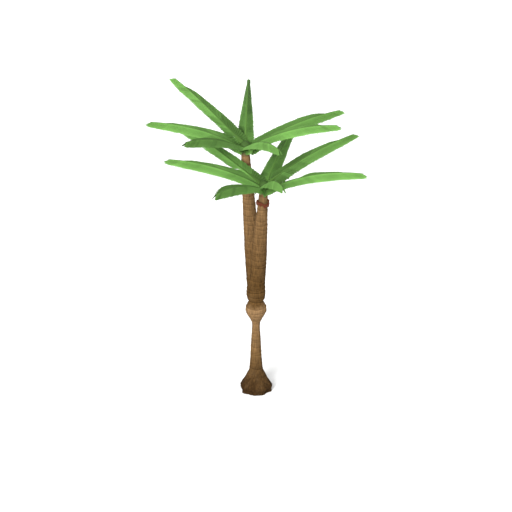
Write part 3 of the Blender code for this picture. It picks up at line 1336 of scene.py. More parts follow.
@dataclass(frozen=True)
class Blade:
    """The rule that a frond's leaflets grow by. Angles are in degrees, by share of the rib's length.

    The rows are shares of a leaflet's length, and its fused part is as wide as its place on the rib. Its curl
    and its lean towards the rib are none at their pivots.
    """

    count: int = 54
    start: float = 0.040
    end: float = 0.946
    half_blade: Table = (
        (0.04, 0.245), (0.12, 0.265), (0.24, 0.275), (0.5, 0.275), (0.72, 0.24), (0.88, 0.18), (1.0, 0.09),
    )
    forward: Table = ((0.045, 102.0), (0.08, 86.0), (0.13, 66.0), (0.25, 49.0), (0.60, 38.0), (1.0, 31.0))
    droop: Table = ((0.04, 34.0), (0.10, 30.0), (0.20, 37.0), (0.50, 59.0), (0.85, 74.0), (1.0, 64.0))
    lift_fades: Range = (0.60, 1.0)
    steepest: float = 86.0
    sector_share: Table = ((0.05, 3.0), (0.10, 2.1), (0.18, 1.4), (0.30, 1.0))
    least_room: float = 0.02
    rib_half: Table = ((0.05, 0.084), (0.08, 0.068), (0.12, 0.041), (0.18, 0.024), (0.5, 0.014), (1.0, 0.006))
    root_inset: float = 0.9
    rows: Sequence[float] = (0.0, 0.12, 0.26, 0.40, 0.55, 0.70, 0.84, 0.94, 1.0)
    corners: Sequence[float] = (0.0, 0.5, 1.0, 1.0, 0.5, 0.0)
    fused: Table = ((0.05, 0.88), (0.20, 0.74), (0.45, 0.58), (1.0, 0.45))
    taper: Table = ((0.0, 1.0), (0.35, 0.96), (0.65, 0.84), (0.85, 0.60), (1.0, 0.10))
    overlap: Table = ((0.05, 1.85), (0.22, 1.65), (0.38, 1.40), (1.0, 1.35))
    overlap_by: float = 0.30
    tilt: float = -11.0
    square_from: float = 0.35
    fold: Table = ((0.0, 0.16), (0.2, 0.27), (0.6, 0.22), (1.0, 0.05))
    thickness: Table = ((0.0, 0.0034), (0.6, 0.0026), (1.0, 0.0012))
    edge_share: float = 0.35
    curl: float = 17.0
    curl_pivot: float = 0.42
    lean_in: float = 7.0
    lean_pivot: float = 0.4
    length_jitter: float = 0.035
    curl_jitter: float = 4.0
    twist_jitter: float = 3.5
    spray: tuple[int, int] = (2, 4)
    tone_spread: float = 0.26

    def shares(self) -> tuple[np.ndarray, float]:
        """Lists the shares of the rib at which the leaflets spring, and the step between them."""
        pitch = (self.end - self.start) / self.count
        return self.start + pitch * (np.arange(self.count) + 0.5), pitch

    def fall(
        self, share: np.ndarray, reach: float, room: float, lift: float, least: float
    ) -> tuple[np.ndarray, np.ndarray]:
        """Works out the leaflets' lengths and droops. Where the frond's sector is narrow they hang steeper.

        Args:
            share: Where on the rib they spring.
            reach: How far out the frond's tip is.
            room: The tangent of half the gap to the next frond.
            lift: By how many degrees they hang less than the rule says.
            least: The least droop, in degrees.

        Returns:
            The length of each, and its droop in radians.
        """
        half = along(self.half_blade, share)
        lift = lift * (1.0 - smooth_rise(share, *self.lift_fades))
        droop = np.radians(np.maximum(along(self.droop, share) - lift, least))
        sector = reach * share * room * along(self.sector_share, share)
        free = np.maximum(self.least_room, sector - along(self.rib_half, share))
        tight = half * np.cos(droop) > free
        steep = np.minimum(np.arccos(np.clip(free / half, -1.0, 1.0)), math.radians(self.steepest))
        droop = np.where(tight & (droop >= 0.0), steep, droop)
        half = np.where(tight, np.minimum(half, free / np.cos(droop)), half)
        return half / np.sin(np.radians(along(self.forward, share))), droop

    def widths(self, share: np.ndarray, chord: np.ndarray) -> np.ndarray:
        """Works out how wide the leaflets are.

        Args:
            share: Where on the rib they spring.
            chord: How much of the rib each of them has.

        Returns:
            Their widths, by leaflet and row.
        """
        rows = np.array(self.rows)
        fused = along(self.fused, share)[:, None]
        freed = np.clip((rows - fused) / (1.0 - fused), 0.0, 1.0)
        lapped = 1.0 + (along(self.overlap, share)[:, None] - 1.0) * smooth_rise(rows, 0.0, self.overlap_by)
        return chord[:, None] * along(self.taper, freed) * lapped

    def grow(self, rib: Rib, room: float, side: Side, chance: np.random.Generator) -> np.ndarray:
        """Grows the leaflets of one side of a rib.

        Args:
            rib: The rib that they spring from.
            room: The tangent of half the gap to the next frond on that side.
            side: The side.
            chance: The seeded source of small differences.

        Returns:
            Their points, by leaflet, row and place in the row: three above and three below.
        """
        jitters = (self.length_jitter, self.curl_jitter, self.twist_jitter)
        longer, curlier, tilted = (chance.uniform(-jitter, jitter, self.count) for jitter in jitters)
        share, pitch = self.shares()
        lift, least = rib.plan.lifts[side.value], rib.plan.least_droops[side.value]
        length, droop = self.fall(share, rib.plan.reach, room, lift, least)
        length = length * (1.0 + longer)
        tangent, up = rib.tangent(share)[:, None, :], rib.up(share)[:, None, :]
        rows = np.array(self.rows)[None, :]
        bent = droop[:, None] + np.radians(self.curl + curlier)[:, None] * (rows - self.curl_pivot)
        lean = math.radians(self.lean_in) * (rows - self.lean_pivot)
        ahead = np.radians(along(self.forward, share))[:, None] - lean
        across = SIDEWAYS * (side.turn * np.cos(bent))[..., None] - up * np.sin(bent)[..., None]
        direction = tangent * np.cos(ahead)[..., None] + across * np.sin(ahead)[..., None]
        steps = (direction[:, 1:] + direction[:, :-1]) / 2.0 * np.diff(rows)[..., None]
        travel = np.concatenate((np.zeros((self.count, 1, 3)), np.cumsum(steps, axis=1)), axis=1)
        beside = side.turn * along(self.rib_half, share) * self.root_inset
        root = rib.point(share) + SIDEWAYS * beside[:, None]
        middle = root[:, None, :] + travel * length[:, None, None]
        squared = unit(tangent - direction * np.sum(tangent * direction, axis=-1, keepdims=True))
        freed = smooth_rise(rows, self.square_from, 1.0)[..., None]
        spread = tangent * (1.0 - freed) + squared * (np.sin(ahead)[..., None] * freed)
        normal = side.turn * unit(np.cross(tangent, direction))
        tilt = np.radians(self.tilt + tilted)[:, None]
        twist = (tilt * smooth_rise(rows, 0.0, self.overlap_by))[..., None]
        chord = np.linalg.norm(rib.slope(share), axis=1) * pitch
        wide = self.widths(share, chord)[..., None]
        half = (spread * np.cos(twist) + normal * np.sin(twist)) * wide / 2.0
        sunk = normal * along(self.fold, rows)[..., None] * wide
        thick = normal * along(self.thickness, rows)[..., None]
        top = np.stack((middle - half, middle - sunk, middle + half), axis=2)
        below = np.stack((thick * self.edge_share, thick, thick * self.edge_share), axis=2)
        return np.concatenate((top, (top - below)[:, :, ::-1, :]), axis=2)

    def faces(self, side: Side) -> tuple[list[tuple[int, ...]], list[list[tuple[float, float]]]]:
        """Lists the faces of one leaflet.

        Args:
            side: The side of the rib, which decides the way round the faces run.

        Returns:
            The faces by point number, and the UV of each of their corners.
        """
        around = len(self.corners)
        last = (len(self.rows) - 1) * around
        faces = []
        for low in range(0, last, around):
            high = low + around
            for i in range(around):
                j = (i + 1) % around
                faces.append((low + i, low + j, high + j, high + i))
        faces.append(tuple(range(around))[::-1])
        faces.append(tuple(range(last, last + around)))
        if side is Side.RIGHT:
            faces = [face[::-1] for face in faces]
        spots = [[(self.corners[n % around], self.rows[n // around]) for n in face] for face in faces]
        return faces, spots

    def tones(self, shaded_greens: Table, side_shade: float, chance: np.random.Generator) -> np.ndarray:
        """Deals out the greens to one side's leaflets, a spray of neighbours at a time, with painted light
        and shade.

        Args:
            shaded_greens: How light the leaflets are along the rib, as places in the list of tones: painted
                light and shade.
            side_shade: Painted shade: how many places darker this side is.
            chance: The seeded source of small differences.

        Returns:
            The number of each leaflet's tone.
        """
        share, _ = self.shares()
        fewest, most = self.spray
        dealt = []
        while len(dealt) < self.count:
            spray = int(chance.integers(fewest, most + 1))
            # Painted light and shade from the table and the side's shade, with a random spread on top.
            level = along(shaded_greens, share[len(dealt)]) - side_shade + chance.normal(0.0, self.tone_spread)
            dealt += [int(np.clip(round(level), 0, len(Tone) - 1))] * spray
        return np.array(dealt[: self.count])


@dataclass(frozen=True)
class RibShape:
    """The body of a rib: clasping at its foot, channelled above, keeled below. Sizes by share of the rib."""

    sides: int = 12
    steps: int = 46
    foot: float = 0.006
    end: float = 0.975
    half_width: Table = (
        (0.006, 0.030), (0.030, 0.085), (0.050, 0.094), (0.080, 0.075), (0.12, 0.045), (0.18, 0.026),
        (0.5, 0.015), (1.0, 0.006),
    )
    crest: Table = ((0.006, 0.024), (0.030, 0.018), (0.12, 0.010), (0.5, 0.006), (1.0, 0.003))
    keel: Table = (
        (0.0, 0.040), (0.03, 0.072), (0.05, 0.068), (0.08, 0.050), (0.12, 0.034), (0.5, 0.021), (1.0, 0.009),
    )
    channel: float = 0.6

    def blank(self) -> Piece:
        """Extrudes a straight blank of unit radius.

        Returns:
            The blank, whose X is the share of the rib.
        """
        blank = new_circle("rib_blank", self.sides, 1.0, (self.foot, 0.0, 0.0))
        blank.rotation_euler = (0.0, math.pi / 2.0, 0.0)
        settle(blank)
        step = (self.end - self.foot) / self.steps
        with edit_mode(blank):
            for _ in range(self.steps):
                draw_out((step, 0.0, 0.0))
        face_outwards(blank)
        return blank

    def lay(self, blank: Piece, rib: Rib, name: str) -> Piece:
        """Lays a copy of the blank along a frond's own line, with a UV map: X round the rib and Y along it.

        Args:
            blank: The straight blank.
            rib: The line to lay it on.
            name: The name of the new piece.

        Returns:
            The rib in the frond's own frame.
        """
        piece = own_copy(blank, name)
        share, across, above = read_points(piece).T
        hollow = 1.0 - self.channel * (1.0 - across**2)
        crest, keel = above * hollow * along(self.crest, share), above * along(self.keel, share)
        height = np.where(above > 0.0, crest, keel)
        sideways = SIDEWAYS * (across * along(self.half_width, share))[:, None]
        move_points(piece, rib.point(share) + sideways + rib.up(share) * height[:, None])
        corners = np.empty(len(piece.data.loops), dtype=np.int64)
        piece.data.loops.foreach_get("vertex_index", corners)
        around = np.abs(np.arctan2(above, across)) / math.pi
        lay_uv(piece, np.column_stack((around[corners], share[corners])))
        return piece


@dataclass(frozen=True)
class Spines:
    """The short hooked spines on both edges of a frond's stalk.

    A joint of a spine is its share of the length and of the hook, and how much it narrows. The inset, the
    drop and the dip are shares of the rib's half width, of its keel and of the outward way.
    """

    count: int = 8
    start: float = 0.050
    end: float = 0.185
    sides: int = 6
    length: float = 0.020
    thick: float = 0.0042
    hook: float = 0.010
    joints: Sequence[Place] = ((0.40, 0.15, 0.80), (0.35, 0.35, 0.62), (0.25, 0.50, 0.20))
    stagger: float = 0.25
    inset: float = 0.90
    drop: float = 0.35
    dip: float = 0.55

    def model(self) -> Piece:
        """Draws one spine out of a small circle.

        Returns:
            The spine, up along +Z with its point hooked towards +X.
        """
        spine = new_circle("spine", self.sides, self.thick, ORIGIN)
        with edit_mode(spine):
            for lift, shift, shrink in self.joints:
                draw_out((self.hook * shift, 0.0, self.length * lift))
                resize((shrink, shrink, 1.0), middle_of_selected(spine))
        face_outwards(spine)
        return spine

    def place(self, rib: Rib, shape: RibShape, share: np.ndarray, turn: int) -> Matrix:
        """Finds where one spine stands on a rib.

        Args:
            rib: The rib's line.
            shape: The rib's body.
            share: Its share of the way to the tip.
            turn: The way along Y of its side.

        Returns:
            The matrix from the model to the frond's own frame.
        """
        tangent, up = rib.tangent(share)[0], rib.up(share)[0]
        edge = float(along(shape.half_width, share)[0]) * self.inset
        keel = float(along(shape.keel, share)[0])
        root = rib.point(share)[0] + SIDEWAYS * turn * edge - up * keel * self.drop
        outward = unit(SIDEWAYS * turn - up * self.dip)
        matrix = Matrix(np.column_stack((tangent, np.cross(outward, tangent), outward)).tolist()).to_4x4()
        matrix.translation = root
        return matrix

    def places(self, rib: Rib, shape: RibShape) -> list[Matrix]:
        """Works out where the spines stand on a rib, in staggered pairs.

        Args:
            rib: The rib's line.
            shape: The rib's body.

        Returns:
            One matrix for each spine.
        """
        rows = []
        for i in range(self.count):
            for side in Side:
                step = (i + self.stagger + self.stagger * side.turn) / self.count
                share = np.array([self.start + (self.end - self.start) * step])
                rows.append(self.place(rib, shape, share, side.turn))
        return rows


@dataclass(frozen=True)
class Crown:
    """A stem, its heart and its fronds in order of azimuth."""

    side: str
    stem: Limb
    fronds: Sequence[FrondPlan]
    seed: int
    widest_sector: float = 80.0
    blade: Blade = Blade()
    rib_shape: RibShape = RibShape()
    spines: Spines = Spines()

    def rooms(self, index: int) -> tuple[float, float]:
        """Finds how wide a frond's own sector is on its two sides.

        Args:
            index: The frond's place in the crown.

        Returns:
            The tangents of half the gaps to the next frond and to the one before.
        """
        azimuths = [plan.azimuth for plan in self.fronds]
        after = (azimuths[(index + 1) % len(azimuths)] - azimuths[index]) % 360.0
        before = (azimuths[index] - azimuths[index - 1]) % 360.0
        gaps = [min(gap, self.widest_sector) for gap in (after, before)]
        return tuple(math.tan(math.radians(gap / 2.0)) for gap in gaps)

    def stand(self, piece: Piece, rib: Rib, edge: Edge) -> None:
        """Stands a piece of a frond in its place in the crown, and shades it.

        Args:
            piece: The piece, in the frond's own frame.
            rib: The rib's line.
            edge: How sharp its smooth edges may be.
        """
        piece.matrix_world = Matrix.Translation(self.stem.heart) @ rib.stand
        settle(piece)
        shade(piece, edge)

    def build_rib(self, rib: Rib, blank: Piece, spine: Piece, finishes: Finishes) -> None:
        """Builds a frond's rib with its spines.

        Args:
            rib: The rib's line.
            blank: The straight rib that every rib is a copy of.
            spine: The model of a spine.
            finishes: The palm's materials.
        """
        piece = self.rib_shape.lay(blank, rib, rib.plan.node + "_rib")
        spines = join_copies("spines", spine, self.spines.places(rib, self.rib_shape))
        both = [finishes.rib, finishes.spine]
        add_to(piece, spines, both, 1)
        self.stand(piece, rib, Edge.FIRM)
        dress(piece, [rib.plan.node], both)

    def build_leaflets(
        self, rib: Rib, rooms: tuple[float, float], finishes: Finishes, chance: np.random.Generator
    ) -> None:
        """Grows a frond's leaflets on both sides of its rib, as one piece.

        Args:
            rib: The rib's line.
            rooms: How wide the frond's sector is on its two sides.
            finishes: The palm's materials.
            chance: The seeded source of small differences.
        """
        points, faces, spots, tones = [], [], [], []
        for side in Side:
            grown = self.blade.grow(rib, rooms[side.value], side, chance)
            pattern, corners = self.blade.faces(side)
            each = grown.shape[1] * grown.shape[2]
            # Each leaflet's green holds painted light and shade as well as random differences.
            for tone in self.blade.tones(rib.plan.shaded_greens, rib.plan.side_shades[side.value], chance):
                first = len(tones) // len(pattern) * each
                faces += [tuple(first + n for n in face) for face in pattern]
                spots += [spot for face in corners for spot in face]
                tones += [tone] * len(pattern)
            points.append(grown.reshape(-1, 3))
        name = rib.plan.node + "_leaflets"
        mesh = bpy.data.meshes.new(name)
        mesh.from_pydata(np.concatenate(points).tolist(), [], faces)
        mesh.polygons.foreach_set("material_index", tones)
        piece = bpy.data.objects.new(name, mesh)
        bpy.context.scene.collection.objects.link(piece)
        lay_uv(piece, np.array(spots))
        self.stand(piece, rib, Edge.FINE)
        dress(piece, [rib.plan.node], finishes.leaves)

    def build(self, finishes: Finishes, relief: BarkRelief, fork: float) -> None:
        """Builds the stem over the fork, the heart and every frond.

        Args:
            finishes: The palm's materials.
            relief: The bark's relief.
            fork: The height at which the stem stands on the trunk.
        """
        stem_node, heart_node = "stem_" + self.side, "heart_" + self.side
        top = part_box(stem_node)[1].z
        stem = self.stem.build(stem_node + "_bark", fork, top, relief)
        shade(stem, Edge.ROUGH)
        dress(stem, [stem_node], [finishes.bark])
        heart = Heart(self.stem.heart).build(heart_node + "_sheath")
        dress(heart, [heart_node], [finishes.sheath])
        blank = self.rib_shape.blank()
        spine = self.spines.model()
        chance = np.random.default_rng(self.seed)
        for index, plan in enumerate(self.fronds):
            rib = Rib(plan)
            self.build_rib(rib, blank, spine, finishes)
            self.build_leaflets(rib, self.rooms(index), finishes, chance)
        for model in (blank, spine):
            bpy.data.objects.remove(model, do_unlink=True)


@dataclass(frozen=True)
class Trunk:
    """The column from the ground to just over the fork, with the feet of both stems grown together."""

    column: Limb
    fork: float = 4.90
    node: str = "trunk"

    def build(self, crowns: Sequence[Crown], relief: BarkRelief, finishes: Finishes) -> None:
        """Builds the column and both feet with their bark, and fuses them.

        Args:
            crowns: The crowns whose stems part from the column.
            relief: The bark's relief.
            finishes: The palm's materials.
        """
        trunk = self.column.build(self.node + "_bark", 0.0, self.column.radii[-1][0], relief)
        feet = [
            crown.stem.build("foot_" + crown.side, crown.stem.parting, self.fork, relief) for crown in crowns
        ]
        parts = [trunk, *feet]
        places = np.concatenate([read_points(part) for part in parts])
        # Each part's wear and painted shade in its cracks and grooves.
        wear_and_shade = np.concatenate([read_values(part, "wear_and_crease_shade") for part in parts])
        for foot in feet:
            union = trunk.modifiers.new("grow_together", "BOOLEAN")
            union.operation = "UNION"
            union.solver = "EXACT"
            union.object = foot
            choose(trunk)
            bpy.ops.object.modifier_apply(modifier=union.name)
            bpy.data.objects.remove(foot, do_unlink=True)
        self.match_wear_and_shade(trunk, places, wear_and_shade)
        shade(trunk, Edge.ROUGH)
        dress(trunk, [self.node], [finishes.bark])

    def match_wear_and_shade(self, trunk: Piece, places: np.ndarray, wear_and_shade: np.ndarray) -> None:
        """Gives every point of the fused trunk the wear and painted shade of the nearest point of its parts.

        Args:
            trunk: The fused trunk.
            places: The points of its parts.
            wear_and_shade: The wear and painted shade of each of them.
        """
        tree = KDTree(len(places))
        for index, place in enumerate(places):
            tree.insert(place, index)
        tree.balance()
        nearest = [tree.find(point)[1] for point in read_points(trunk)]
        keep_values(trunk, "wear_and_crease_shade", wear_and_shade[nearest])


@dataclass(frozen=True)
class Fruit:
    """One fruit: egg-shaped and faintly lobed, with a small cap. All but its radius are shares of that."""

    radius: float = 0.028
    segments: int = 18
    rings: int = 12
    narrowing: float = 0.07
    lobes: int = 3
    lobe_depth: float = 0.035
    height: float = 1.08
    cap_from: float = 0.98
    cap_rise: float = 0.10
    cap_taper: float = 0.85

    def model(self, finishes: Finishes) -> Piece:
        """Shapes the fruit out of a ball.

        Args:
            finishes: The palm's materials.

        Returns:
            The fruit, its cap under the second of its materials.
        """
        clear_choice()
        bpy.ops.mesh.primitive_uv_sphere_add(
            segments=self.segments, ring_count=self.rings, radius=self.radius
        )
        fruit = bpy.context.active_object
        points = read_points(fruit)
        angles = np.arctan2(points[:, 1], points[:, 0])
        narrower = self.narrowing * (points[:, 2] / self.radius)
        grow = 1.0 - narrower + self.lobe_depth * np.cos(self.lobes * angles)
        move_points(fruit, points * np.column_stack((grow, grow, np.full_like(grow, self.height))))
        taper = self.cap_taper
        with picked(fruit, "FACE", self.cap(fruit)):
            draw_out((0.0, 0.0, self.radius * self.cap_rise))
            resize((taper, taper, 1.0), (0.0, 0.0, self.radius))
        for finish in (finishes.fruit, finishes.stalk):
            fruit.data.materials.append(finish)
        fruit.data.polygons.foreach_set("material_index", np.array(self.cap(fruit), dtype=np.int32))
        return fruit

    def cap(self, fruit: Piece) -> list[bool]:
        """Tells for each face of a fruit whether it is on its cap."""
        return [face.center.z > self.radius * self.cap_from for face in fruit.data.polygons]


@dataclass(frozen=True)
class Twig:
    """A tapering twig: its radius at both ends, and how far its middle rises over the straight line."""

    thick: float
    thin: float
    arch: float
    sides: int = 8
    steps: int = 5

    def draw(self, start: Vector, end: Vector) -> Piece:
        """Draws the twig.

        Args:
            start: Where it springs.
            end: Where it ends.

        Returns:
            The twig.
        """
        twig = new_circle("twig", self.sides, self.thick, start)
        twig.rotation_euler = (end - start).to_track_quat("Z", "Y").to_euler()
        settle(twig)
        spots = []
        for i in range(self.steps + 1):
            share = i / self.steps
            lift = 4.0 * self.arch * share * (1.0 - share)
            spots.append(start.lerp(end, share) + Vector((0.0, 0.0, lift)))
        shrink = (self.thin / self.thick) ** (1.0 / self.steps)
        with edit_mode(twig):
            for low, high in zip(spots, spots[1:]):
                draw_out(high - low)
                resize((shrink, shrink, shrink), high)
        face_outwards(twig)
        return twig


@dataclass(frozen=True)
class FruitRing:
    """Bunches of fruit round the right stem. Places are fruit radii beside a bunch's stalk and below it.

    The stalk springs and ends so many fruit radii over the bunch's height and over the middle of one fruit,
    and every twig runs from there to the top of a fruit.
    """

    stem: Limb
    fruit: Fruit = Fruit()
    stalk: Twig = Twig(thick=0.012, thin=0.0066, arch=0.007)
    twig: Twig = Twig(thick=0.00455, thin=0.0035, arch=0.0084)
    height: float = 6.34
    swag: float = 0.035
    bunches: int = 8
    places: Sequence[tuple[float, float]] = (
        (-1.15, 0.0), (1.15, 0.15), (0.0, 1.0), (-1.1, 2.0), (1.1, 2.1), (0.0, 3.0), (2.35, 1.1),
    )
    clear: float = 0.002
    springs_at: float = 0.6
    ends_over: int = 2
    ends_at: float = 0.9
    fruit_top: float = 1.05
    nods: Range = (-0.25, 0.25)
    tips: Range = (-0.2, 0.3)
    sizes: Range = (0.94, 1.06)
    seed: int = 5

    def fruit_middle(self, height: float, place: tuple[float, float]) -> Vector:
        """Finds a fruit's middle, seen from the stem's axis at its bunch's height.

        Args:
            height: The height of the bunch.
            place: How many fruit radii beside the stalk and below it the fruit hangs.

        Returns:
            Its middle, with X outwards and Z up the stem.
        """
        beside, drop = place[0] * self.fruit.radius, place[1] * self.fruit.radius
        away = float(along(self.stem.radii, height - drop)) + self.fruit.radius + self.clear
        around = math.asin(beside / away)
        return Vector((away * math.cos(around), away * math.sin(around), -drop))

    def bunch_stand(self, angle: float, height: float) -> Matrix:
        """Finds where a bunch's own frame stands on the leaning stem.

        Args:
            angle: The way it faces.
            height: The height of the bunch.

        Returns:
            The matrix from the bunch's frame to the palm's.
        """
        low, high = (Vector((*self.stem.middle(h), h)) for h in (height, height + self.stalk.thick))
        lean = Vector((0.0, 0.0, 1.0)).rotation_difference(high - low).to_matrix().to_4x4()
        return Matrix.Translation(low) @ lean @ Matrix.Rotation(angle, 4, "Z")

    def build_bunch(self, number: int, fruit: Piece, finishes: Finishes, chance: random.Random) -> None:
        """Builds one bunch: its fruits as one piece, and its stalk and twigs as another.

        Args:
            number: The bunch's number, from 1.
            fruit: The model of a fruit.
            finishes: The palm's materials.
            chance: The seeded source of small differences.
        """
        node = "fruit_bunch_%d" % number
        radius = self.fruit.radius
        angle = math.tau * (number - 0.5) / self.bunches
        height = self.height + self.swag * math.sin(2.0 * angle)
        stand = self.bunch_stand(angle, height)
        middles = [self.fruit_middle(height, place) for place in self.places]
        knot = middles[self.ends_over] + Vector((0.0, 0.0, radius * self.ends_at))
        bark = float(along(self.stem.radii, height))
        stalk = self.stalk.draw(Vector((bark - self.stalk.thick, 0.0, radius * self.springs_at)), knot)
        places = []
        for middle in middles:
            nod = Matrix.Rotation(chance.uniform(*self.nods), 4, "X")
            lean = nod @ Matrix.Rotation(chance.uniform(*self.tips), 4, "Y")
            spin = Matrix.Rotation(chance.uniform(0.0, math.tau), 4, "Z")
            size = Matrix.Scale(chance.uniform(*self.sizes), 4)
            places.append(stand @ Matrix.Translation(middle) @ lean @ spin @ size)
            top = middle + lean.to_3x3() @ Vector((0.0, 0.0, radius * self.fruit_top))
            add_to(stalk, self.twig.draw(knot, top), [finishes.stalk], 0)
        rename(stalk, node + "_stalk")
        stalk.matrix_world = stand
        settle(stalk)
        shade(stalk, Edge.FINE)
        dress(stalk, [node], [finishes.stalk])
        fruits = join_copies(node + "_fruits", fruit, places)
        shade(fruits, Edge.FINE)
        dress(fruits, [node], [finishes.fruit, finishes.stalk])

    def build(self, finishes: Finishes) -> None:
        """Builds every bunch round the stem.

        Args:
            finishes: The palm's materials.
        """
        fruit = self.fruit.model(finishes)
        chance = random.Random(self.seed)
        for number in range(1, self.bunches + 1):
            self.build_bunch(number, fruit, finishes, chance)
        bpy.data.objects.remove(fruit, do_unlink=True)


@dataclass(frozen=True)
class Studio:
    """The pale floor, the soft light and the camera."""

    floor_size: float = 600.0
    camera_place: Place = (0.0, -89.826, 42.557)
    looks_at: Place = (0.0, 0.0, 4.428)
    half_view: float = 4.5
    sensor: float = 36.0
    furthest: float = 1500.0
    sky: float = 1.0
    sky_colour: Colour = (1.0, 1.0, 1.0)
    sun: float = 6.0
    sun_from: Place = (-0.34, -0.94, 0.42)
    sun_distance: float = 20.0
    sun_softness: float = 24.0

    def build(self) -> None:
        """Lays the floor, lights the scene and stands the camera."""
        self.lay_floor()
        self.light()
        self.stand_camera()

    def lay_floor(self) -> None:
        """Lays the floor, which isn't part of the palm."""
        clear_choice()
        bpy.ops.mesh.primitive_plane_add(size=self.floor_size)
        floor = bpy.context.active_object
        floor.name = "floor"
        floor.data.materials.append(FloorFinish().make())

    def light(self) -> None:
        """Adds an even pale sky and a soft sun from the front left, and shows their colours as they are."""
        bpy.context.scene.view_settings.view_transform = "Standard"
        world = bpy.data.worlds.new("pale_sky")
        world.use_nodes = True
        sky = world.node_tree.nodes["Background"]
        sky.inputs["Color"].default_value = (*self.sky_colour, 1.0)
        sky.inputs["Strength"].default_value = self.sky
        bpy.context.scene.world = world
        bpy.ops.object.light_add(type="SUN", location=Vector(self.sun_from) * self.sun_distance)
        sun = bpy.context.active_object
        sun.name = "soft_sun"
        sun.rotation_euler = Vector(self.sun_from).to_track_quat("Z", "Y").to_euler()
        sun.data.energy = self.sun
        sun.data.angle = math.radians(self.sun_softness)

    def stand_camera(self) -> None:
        """Stands the camera far off with a long lens, in front and above."""
        place = Vector(self.camera_place)
        bpy.ops.object.camera_add(location=place)
        camera = bpy.context.active_object
        camera.rotation_euler = (Vector(self.looks_at) - place).to_track_quat("-Z", "Y").to_euler()
        camera.data.sensor_width = self.sensor
        camera.data.lens = self.sensor / 2.0 / math.tan(math.radians(self.half_view))
        camera.data.clip_end = self.furthest
        bpy.context.scene.camera = camera


COLUMN = Limb(
    radii=(
        (0.00, 0.440), (0.07, 0.430), (0.17, 0.485), (0.27, 0.425), (0.37, 0.358), (0.49, 0.305),
        (0.58, 0.262), (0.68, 0.214), (0.99, 0.180), (1.49, 0.156), (1.99, 0.125), (2.19, 0.119),
        (2.30, 0.142), (2.42, 0.205), (2.54, 0.272), (2.66, 0.324), (2.79, 0.304), (2.89, 0.262),
        (2.97, 0.208), (3.05, 0.262), (3.20, 0.290), (3.45, 0.275), (3.75, 0.225), (4.05, 0.120),
    ),
    heart=(0.0, 0.0, 9.0),
    sides=168,
    scarred=(0.20, 4.10),
    lobes=((5, 0.022, 0.4), (8, 0.016, 1.9)),
)
LEFT_CROWN = Crown(
    side="left",
    stem=Limb(
        radii=(
            (3.15, 0.19), (3.45, 0.245), (4.0, 0.245), (4.6, 0.236), (5.9, 0.196), (6.5, 0.168), (7.5, 0.132),
        ),
        heart=(-0.327, 0.42, 7.737),
        sides=128,
        scarred=(3.10, 7.60),
    ),
    # Each frond's shaded greens and side shades are painted light and shade: darker near the heart, on the
    # back fronds and on the side turned from the light.
    fronds=(
        FrondPlan(
            node="frond_left_east", azimuth=17.0, reach=3.08, rise=0.85, arch=0.18,
            shaded_greens=((0.1, 2.0), (0.35, 1.7), (0.6, 2.0), (1.0, 2.3)),
            lifts=(60.0, 0.0), side_shades=(1.0, 0.0),
        ),
        FrondPlan(
            node="frond_left_back", azimuth=88.0, reach=2.98, rise=1.12, arch=0.22,
            shaded_greens=((0.1, 0.8), (0.35, 0.8), (0.6, 1.1), (0.9, 0.9)),
            side_shades=(0.0, -0.9),
        ),
        FrondPlan(
            node="frond_left_back_west", azimuth=142.0, reach=2.78, rise=1.61, arch=0.12,
            shaded_greens=((0.08, 0.6), (0.2, 1.6), (0.35, 2.6), (0.6, 3.0), (0.9, 2.9)),
            lifts=(40.0, 47.0), side_shades=(0.0, 1.5), bow=0.06, least_droops=(0.0, -10.0),
        ),
        FrondPlan(
            node="frond_left_west", azimuth=196.0, reach=3.00, rise=1.10, arch=0.20,
            shaded_greens=((0.1, 2.8), (0.35, 3.8), (0.6, 3.7), (0.9, 3.0)),
            lifts=(0.0, 52.0), side_shades=(0.0, 2.2), least_droops=(0.0, -25.0),
        ),
        FrondPlan(
            node="frond_left_front_west", azimuth=234.0, reach=3.01, rise=1.06, arch=0.19,
            shaded_greens=((0.06, 3.0), (0.12, 2.0), (0.35, 1.8), (0.9, 1.6)),
            lifts=(0.0, 55.0), side_shades=(0.0, 1.6),
        ),
        FrondPlan(
            node="frond_left_front", azimuth=290.0, reach=3.02, rise=0.96, arch=0.26,
            shaded_greens=((0.1, 2.8), (0.35, 2.8), (0.6, 2.2), (0.9, 1.6)),
        ),
        FrondPlan(
            node="frond_left_front_east", azimuth=340.0, reach=2.99, rise=1.06, arch=0.24,
            shaded_greens=((0.1, 2.4), (0.4, 2.6), (0.6, 2.9), (0.9, 2.7)),
            lifts=(52.0, 0.0), side_shades=(1.6, 0.0),
        ),
    ),
    seed=21,
)
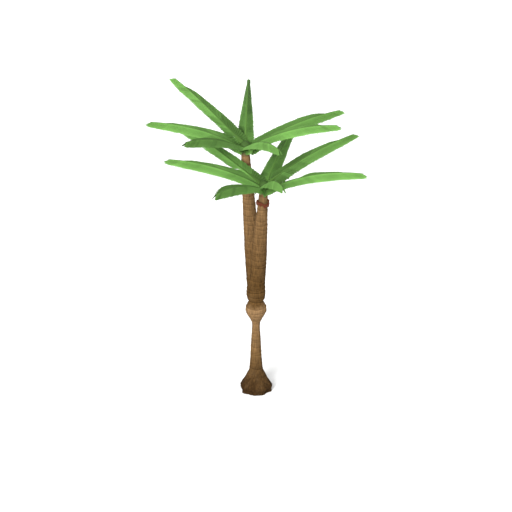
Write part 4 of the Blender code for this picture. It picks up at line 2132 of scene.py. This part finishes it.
RIGHT_CROWN = Crown(
    side="right",
    stem=Limb(
        radii=(
            (3.15, 0.19), (3.45, 0.245), (4.0, 0.242), (4.6, 0.23), (5.2, 0.206), (5.7, 0.178), (6.61, 0.13),
        ),
        heart=(0.231, -0.42, 6.809),
        sides=128,
        scarred=(3.14, 6.70),
    ),
    # Each frond's shaded greens and side shades are painted light and shade: darker near the heart, on the
    # back fronds and on the side turned from the light.
    fronds=(
        FrondPlan(
            node="frond_right_east", azimuth=16.0, reach=2.88, rise=1.39, arch=0.17,
            shaded_greens=((0.1, 0.0), (0.25, 0.6), (0.4, 1.5), (0.6, 2.1), (0.9, 2.0)),
            lifts=(50.0, 0.0), side_shades=(1.2, 0.0),
        ),
        FrondPlan(
            node="frond_right_back", azimuth=69.0, reach=2.99, rise=1.18, arch=0.10,
            shaded_greens=((0.1, 0.6), (0.35, 1.4), (0.55, 3.3), (0.7, 3.3), (0.85, 2.2)),
            lifts=(22.0, -8.0), side_shades=(0.0, -0.5),
        ),
        FrondPlan(
            node="frond_right_back_west", azimuth=154.0, reach=2.85, rise=1.47, arch=0.16,
            shaded_greens=((0.08, 1.4), (0.2, 3.4), (0.35, 4.2), (0.6, 4.3), (0.85, 3.2)),
            lifts=(34.0, 50.0), side_shades=(0.0, 2.0), bow=0.11, least_droops=(0.0, -10.0),
        ),
        FrondPlan(
            node="frond_right_west", azimuth=194.0, reach=2.98, rise=1.14, arch=0.20,
            shaded_greens=((0.1, 3.5), (0.35, 3.7), (0.6, 3.7), (0.9, 3.0)),
            lifts=(0.0, 54.0), side_shades=(0.0, 2.1), least_droops=(0.0, -25.0),
        ),
        FrondPlan(
            node="frond_right_front_west", azimuth=242.0, reach=3.09, rise=0.79, arch=0.20,
            shaded_greens=((0.1, 3.2), (0.3, 2.5), (0.6, 1.7)),
            lifts=(0.0, 60.0), side_shades=(0.0, 1.6),
        ),
        FrondPlan(
            node="frond_right_front", azimuth=281.0, reach=2.99, rise=1.08, arch=0.24,
            shaded_greens=((0.1, 3.0), (0.35, 2.6), (0.6, 1.9)),
        ),
        FrondPlan(
            node="frond_right_front_east", azimuth=347.0, reach=3.10, rise=0.66, arch=0.25,
            shaded_greens=((0.1, 2.2), (0.3, 3.7), (0.5, 3.2), (0.7, 2.9), (0.9, 3.3)),
            lifts=(45.0, 0.0), side_shades=(2.0, 0.0),
        ),
    ),
    seed=22,
)


def main() -> None:
    """Builds the palm's pieces in order, from the ground up, and then the studio round it."""
    logging.basicConfig(level=logging.INFO, format="%(message)s")
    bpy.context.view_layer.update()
    finishes = Finishes.make()
    relief = BarkRelief()
    trunk = Trunk(COLUMN)
    trunk.build((LEFT_CROWN, RIGHT_CROWN), relief, finishes)
    for crown in (LEFT_CROWN, RIGHT_CROWN):
        crown.build(finishes, relief, trunk.fork)
    FruitRing(RIGHT_CROWN.stem).build(finishes)
    Studio().build()


if __name__ == "__main__":
    main()
